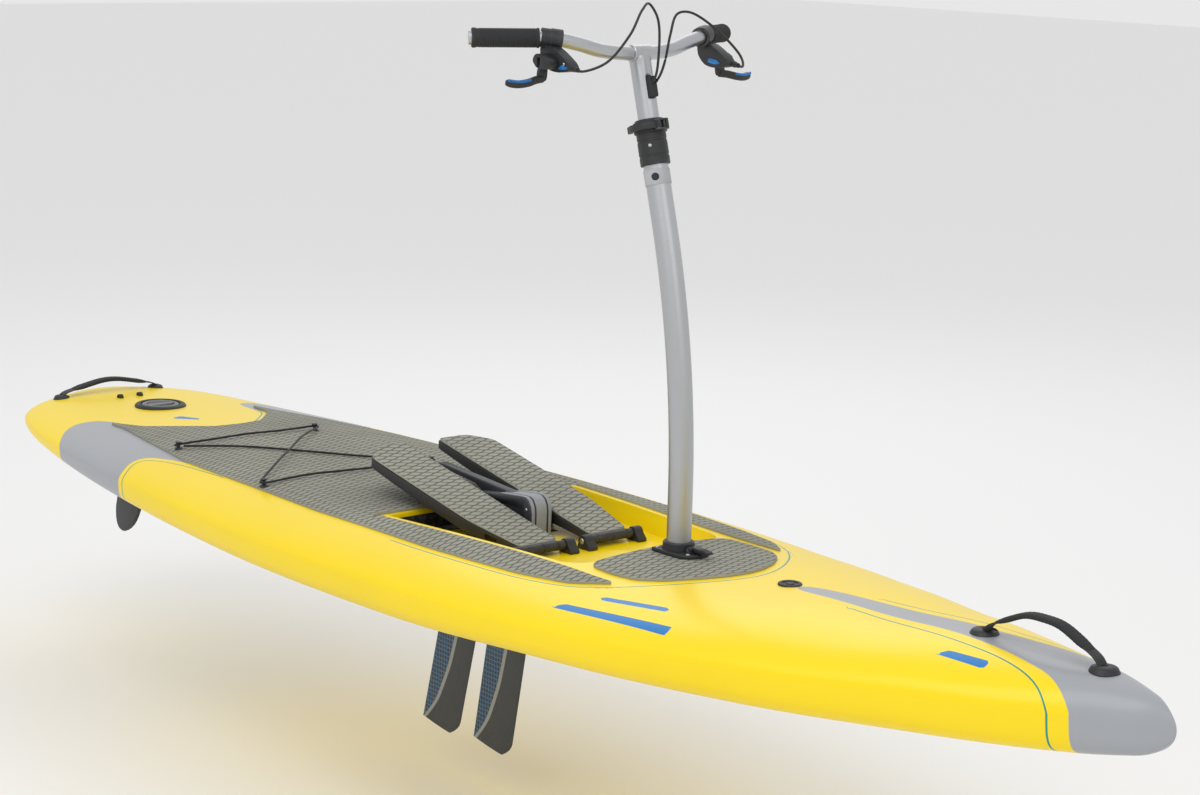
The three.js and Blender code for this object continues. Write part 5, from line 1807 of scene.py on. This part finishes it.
@dataclass
class Handlebar:
    """The bar, stem, grips, lever housings, levers and cables."""

    palette: Palette
    column: Column
    bar_points: tuple = ((342, 0, 1060), (341, 20, 1060), (334, 85, 1066), (326, 132, 1078),
        (313, 180, 1087), (286.3, 220.7, 1086.7), (259.7, 261.3, 1086.3), (233, 302, 1086))

    def bar(self) -> Piece:
        """The swept bar, in one piece from end to end.

        Returns:
            The bar.
        """
        port = [(x, y, z) for x, y, z in self.bar_points]
        points = [(x, -y, z) for x, y, z in reversed(port)] + port[1:]
        path = spline(points, 161)
        tube = sweep("bar_tube", path, lambda t: oval(12.7, 12.7, 40))
        centre = revolve("bar_clamp", (341.5, -21, 1060), (0, 1, 0), [(0, 12.4), (0, 14.4), (1, 15.2),
            (41, 15.2), (42, 14.4), (42, 12.4), (0, 12.4)], 48)
        return dress(merge("bar_tube", [tube, centre]), self.palette.satin)

    def stem(self) -> Piece:
        """The stem tube, ending in a weld under the bar.

        Returns:
            The stem.
        """
        tube = revolve("stem_tube", self.column.bend_end, self.column.axis, [(32, 17.1), (32, 18.9),
            (32.5, 19.3), *((s, 19.3) for s in range(56, 297, 12)), (299, 19.9), (303, 19.5), (306, 18),
            (306, 17.1), (32, 17.1)], 64)
        block = prism("window", rect(-9.4, 9.4, -8.4, 8.4), -19.4, 19.4)
        cut(tube, [self.column.local(block, 246, (19, 0, 5))])
        return dress(tube, self.palette.satin)

    def grommet(self) -> Piece:
        """The oval cable grommet in the stem's front."""
        block = bevel(prism("stem_grommet", rect(-9, 9, -8, 8), -19, 19), 0.0035, 3, 40)
        return dress(self.column.local(block, 246, (19, 0, 5)), self.palette.rubber)

    def grip(self, side: Side) -> Piece:
        """A rubber grip with rings of fine ribs and a domed, flanged end.

        Args:
            side: Which grip.

        Returns:
            The grip.
        """
        s = side.value
        start, end = np.array((301, s * 199, 1087.6)), np.array((236, s * 298, 1086))
        length = float(np.linalg.norm(end - start))
        rows = [(0, 13.6), (0, 17), (0.8, 17.5), (4, 17.5), (4.8, 16.6)]
        place_along = 7.0
        while place_along < length - 14:
            rows += [(place_along, 16.4), (place_along + 0.5, 17.0), (place_along + 1.5, 17.0),
                (place_along + 2.0, 16.4)]
            place_along += 3.1
        rows += [(length - 8, 16.4), (length - 7, 17.5), (length - 1.4, 17.5), (length, 16), (length, 13.6),
            (0, 13.6)]
        grip = revolve(f"grip_sleeve_{side.label}", tuple(start), tuple(end - start), rows, 56)
        return dress(grip, self.palette.rubber)

    def housing(self, side: Side) -> Pieces:
        """A lever housing: clamp, body, cheek with its slot, adjuster barrel and a blue insert.

        Args:
            side: Which housing.

        Returns:
            The housing, its screws and its insert.
        """
        s = side.value
        clamp = revolve("clamp", (321, s * 164, 1084.4), (-11, s * 18, 2.6), [(0, 13.1), (0, 17.6),
            (1, 18.5), (20, 18.5), (21, 17.6), (22.5, 17.2), (37, 17.2), (38, 16.4), (38, 13.1), (0, 13.1)],
            48)
        side_view = soften([(300, 1078), (336, 1074), (381, 1048), (386, 1036), (352, 1030), (322, 1034),
            (302, 1052)], 0.35)
        slab = prism("slab", side_view, *side.span(176, 196), "XZ")
        path = spline([(x, s * y, z) for x, y, z in self.bar_points], 60)
        cut(slab, [sweep("bore", path, lambda t: oval(13, 13, 32))])
        bevel(slab, 0.0022, 3, 40)
        arm = prism("arm", soften([(318, 1064), (352, 1052), (350, 1036), (322, 1036), (308, 1050)], 0.3),
            *side.span(195, 220), "XZ")
        slot = prism("slot", rect(322, 330, s * 197.4, s * 230), 1000, 1056)
        cut(arm, [slot])
        bevel(arm, 0.0012)
        pin = rod("pin", (311.4, s * 208, 1045), (1, 0, 0), 35.2, 2.2, 24)
        barrel = revolve("barrel", (372, s * 190, 1042), (26, 0, -4), [(0, 3.5), (0, 5), (8, 5), (8.6, 5.8),
            (10.4, 5.8), (11, 5), (12, 5.8), (13.8, 5.8), (14.4, 5), (16, 5.8), (17.8, 5.8), (18.4, 4.8),
            (26.3, 4.4), (26.3, 3.5), (0, 3.5)], 32)
        housing = dress(merge(f"housing_shell_{side.label}", [clamp, slab, arm, barrel]),
            self.palette.black)
        insert = prism(f"housing_insert_{side.label}", soften([(330, 1040), (352, 1037), (366, 1040),
            (352, 1046), (334, 1048)], 0.3), *side.span(174.8, 176.6), "XZ")
        outer = prism("insert_two", [(352, 1036.5), (374, 1037.5), (378, 1041), (360, 1044)],
            *side.span(195.8, 197), "XZ")
        blue = dress(merge(f"housing_insert_{side.label}", [insert, outer]), self.palette.blue)
        screw = DeckFittings.screw("screw", (366, s * 196.1, 1046), (0, s, 0), 3.2)
        bright = dress(merge(f"housing_screws_{side.label}", [pin, screw]), self.palette.steel)
        return [housing, bright, blue]

    def lever(self, side: Side) -> Pieces:
        """A finger lever: ear, curved blade, and a blue pad along its front edge.

        Args:
            side: Which lever.

        Returns:
            The lever and its blue pad.
        """
        s = side.value
        ear = prism("ear", [(s * y, z) for y, z in soften([(200, 1048), (208, 1053), (216, 1048),
            (222, 1024), (214, 1012), (202, 1016)], 0.3)], 322.4, 329.6, "YZ")
        cut(ear, [rod("hole", (318, s * 208, 1045), (1, 0, 0), 16, 2.5, 24)])
        bevel(ear, 0.0009)
        points = [(326, 210, 1019), (329, 228, 1017), (332, 247, 1013), (330, 268, 1011), (324, 290, 1014)]
        path = spline([(x, s * y, z) for x, y, z in points], 60)

        def section(share: float) -> Corners:
            ease = min(1.0, (1 - share) * 9) ** 0.5
            return oval(4.6 * (0.35 + 0.65 * ease), 7 * (0.5 + 0.5 * ease), 24, 0.7, 0.8)

        blade = sweep("blade", path, section)
        lever = dress(merge(f"lever_blade_{side.label}", [ear, blade]), self.palette.black)
        pad_path = path[24:58] + np.array((0.0030, 0, 0.0042))
        pad = sweep(f"lever_pad_{side.label}", pad_path, lambda _: oval(2.4, 2.6, 14))
        return [lever, dress(pad, self.palette.blue)]

    def cable(self, side: Side) -> Piece:
        """A control cable with ferrules at its ends.

        Args:
            side: Which cable.

        Returns:
            The cable.
        """
        if side is Side.STARBOARD:
            points = [(389, -190, 1039.5), (410, -189, 1036.6), (436, -160, 1052), (432, -104, 1098),
                (404, -52, 1140), (388, -22, 1150), (394, -6, 1124), (398, -5, 1060), (388, -4, 1018),
                (364, -4, 1000)]
        else:
            points = [(389, 190, 1039.5), (409, 189, 1036.8), (432, 160, 1060), (424, 104, 1108),
                (412, 52, 1136), (408, 26, 1132), (408, 12, 1096), (404, 5, 1050), (390, 4, 1020),
                (364, 4, 1000)]
        path = spline(points, 220)

        def section(share: float) -> Corners:
            radius = (3.0 if share < 0.035 or share > 0.93 else 2.3) + 0.05 * sin(share * 900)
            return oval(radius, radius, 14)

        return dress(sweep(f"cable_sleeve_{side.label}", path, section, (0.2, 0.1, 1)), self.palette.cable)


# --- stage


def stage_scene() -> None:
    """Adds a plain floor, soft lights and the camera."""
    scene = bpy.context.scene
    scene.view_settings.view_transform = "Standard"
    world = bpy.data.worlds.new("studio")
    scene.world = world
    world.use_nodes = True
    background = world.node_tree.nodes["Background"]
    background.inputs[0].default_value = (1.0, 1.0, 1.0, 1.0)
    background.inputs[1].default_value = 0.8
    floor_material = bpy.data.materials.new("studio_floor")
    floor_material.use_nodes = True
    shader = floor_material.node_tree.nodes["Principled BSDF"]
    shader.inputs["Base Color"].default_value = (0.9, 0.9, 0.9, 1.0)
    shader.inputs["Roughness"].default_value = 0.9
    floor = mesh_object("studio_floor", [(-30, -30, -0.42), (30, -30, -0.42), (30, 30, -0.42),
        (-30, 30, -0.42)], [(0, 1, 2, 3)], False)
    dress(floor, floor_material)
    lights = [("key", (1.5, -3.2, 4.2), 4.0, 80.0), ("fill", (4.5, -0.5, 2.6), 3.0, 12.0),
        ("back", (-3.0, 3.0, 3.6), 3.5, 30.0)]
    for name, spot, size, power in lights:
        data = bpy.data.lights.new(name, "AREA")
        data.shape = "DISK"
        data.size = size
        data.energy = power
        lamp = bpy.data.objects.new(name, data)
        lamp.location = Vector(spot) - Vector(ORIGIN)
        aim = Vector((-0.15, 0, 0.1)) - lamp.location
        lamp.rotation_euler = aim.to_track_quat("-Z", "Y").to_euler()
        scene.collection.objects.link(lamp)
    azimuth, elevation, roll = (radians(v) for v in (49.303, 10.876, 1.5893))
    back = Vector((sin(azimuth) * cos(elevation), -cos(azimuth) * cos(elevation), sin(elevation)))
    right = (-back).cross(Vector((0, 0, 1))).normalized()
    upward = right.cross(-back)
    turned = cos(roll) * right + sin(roll) * upward
    upright = -sin(roll) * right + cos(roll) * upward
    data = bpy.data.cameras.new("camera")
    data.lens = 78.6966
    data.sensor_width = 36.0
    data.clip_end = 100.0
    camera = bpy.data.objects.new("camera", data)
    basis = Matrix((turned, upright, back)).transposed().to_4x4()
    camera.matrix_world = Matrix.Translation(Vector((3.8781, -3.1125, 1.3383)) - Vector(ORIGIN)) @ basis
    scene.collection.objects.link(camera)
    scene.camera = camera


# --- assembly


class Assembly:
    """Builds every piece and hangs it on its body."""

    def __init__(self) -> None:
        """Builds the palette."""
        self.palette = Palette()

    def hang(self, pieces: Pieces, body: str, node: str = "") -> None:
        """Hangs pieces on a body; the first one stands for a CAD node.

        Args:
            pieces: The pieces.
            body: The body they move with.
            node: CAD node that the first piece replaces.
        """
        for piece in pieces:
            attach(piece, body)
            LOG.info("%s moves with %s", piece.name, body)
        if node:
            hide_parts(node)

    def board(self) -> None:
        """Builds the hull and everything fixed to its deck."""
        hull, deck = Hull(self.palette), DeckFittings(self.palette)
        self.hang([hull.build()], "hull", "hull")
        for pad, node in zip(DeckPads(self.palette).build(hull), ("main_deck_pad", "bow_deck_pad")):
            self.hang([pad], "hull", node)
        ring, cover = deck.hatch()
        self.hang(ring, "hull", "hatch_ring")
        self.hang(cover, "hatch_cover", "hatch_cover")
        self.hang([deck.vent()], "hull", "vent_plug")
        for side in Side:
            self.hang([deck.eye(f"eye_{side.label}", side.value * 26)], "hull", f"leash_eye_{side.label}")
        bow = deck.handle("bow_strap", (1230, 0, Form.height(1230, 0) + 17),
            (1446, 0, Form.height(1446, 0) + 17), 36, False, 10)
        stern_z = Form.height(-1534, 116) + 12
        stern = deck.handle("stern_strap", (-1534, -116, stern_z), (-1534, 116, stern_z), 20, True, 5)
        for pieces, node in ((bow, "bow_handle_strap"), (stern, "stern_handle_strap")):
            self.hang(pieces, "hull", node)
        caps = [("bow_handle_cap_aft", 1217, 0, 25, 12, 0), ("bow_handle_cap_front", 1459, 0, 25, 12, 180),
            ("stern_handle_cap_starboard", -1534, -126, 20, 12, 90), ("stern_handle_cap_port", -1534, 126,
            20, 12, -90)]
        for node, x, y, radius, height, turn in caps:
            self.hang([deck.cap(f"{node}_dome", x, y, radius, height, turn)], "hull", node)
        for k, (x, y) in enumerate(deck.hooks):
            self.hang([deck.hook_piece(f"hook_{k + 1}", x, y)], "hull", f"cord_hook_{k + 1}")
        self.hang([deck.lacing()], "hull", "elastic_cord")

    def drive(self) -> None:
        """Builds the pedals, drive, fins and rudder."""
        drive, pedals = Drive(self.palette), Pedals(self.palette)
        self.hang(drive.frame(), "hull", "drive_frame")
        self.hang([drive.liner()], "hull")
        rocker_pin, fin_rod = drive.shafts()
        self.hang([rocker_pin], "hull", "rocker_shaft")
        self.hang([fin_rod], "hull", "fin_shaft")
        for side in Side:
            word = side.label
            shell, tread = pedals.build(side)
            self.hang(shell, f"pedal_{word}", f"pedal_tray_{word}")
            self.hang([tread], f"pedal_{word}", f"pedal_tread_{word}")
            rod, blocks = pedals.axle_pieces(side)
            self.hang([rod], "hull", f"pedal_axle_{word}")
            for block, label in zip(blocks, ("inner", "outer")):
                self.hang([block], "hull", f"axle_bracket_{label}_{word}")
            self.hang(drive.rocker(side), f"rocker_{word}", f"rocker_{word}")
            self.hang([drive.latch(side)], f"drive_latch_{word}", f"drive_latch_{word}")
        for name, lead, rake in (("fin_front", 78.0, 60.0), ("fin_rear", -72.0, 80.0)):
            blade, hub = drive.fin(name, lead, rake)
            self.hang([blade], name, f"{name}_blade")
            self.hang([hub], name, f"{name}_hub")
        rudder, tube = drive.rudder()
        self.hang([rudder], "rudder", "rudder")
        self.hang([tube], "hull", "rudder_bearing")

    def steering(self) -> None:
        """Builds the column and the handlebar."""
        column = Column(self.palette)
        bar = Handlebar(self.palette, column)
        self.hang([column.tube()], "hull", "column_lower")
        self.hang(column.label(), "hull", "column_band")
        self.hang(column.collar(), "hull", "height_collar")
        self.hang([column.lever()], "height_lever", "height_lever")
        self.hang(column.foot(), "hull", "column_base_plate")
        self.hang([column.latch()], "column_latch", "column_latch")
        self.hang([bar.bar()], "handlebar", "handlebar")
        self.hang([bar.stem()], "handlebar", "stem")
        self.hang([bar.grommet()], "handlebar", "cable_grommet")
        for side in Side:
            word = side.label
            self.hang([bar.grip(side)], "handlebar", f"grip_{word}")
            self.hang(bar.housing(side), "handlebar", f"lever_housing_{word}")
            self.hang(bar.lever(side), f"lever_{word}", f"brake_lever_{word}")
            self.hang([bar.cable(side)], "handlebar", f"cable_{word}")


def main() -> None:
    """Loads the frame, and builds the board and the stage."""
    logging.basicConfig(level=logging.INFO)
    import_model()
    build = Assembly()
    for step in (build.board, build.drive, build.steering):
        step()
        LOG.info("%s done", step.__name__)
    stage_scene()
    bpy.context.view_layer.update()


if __name__ == "__main__":
    main()
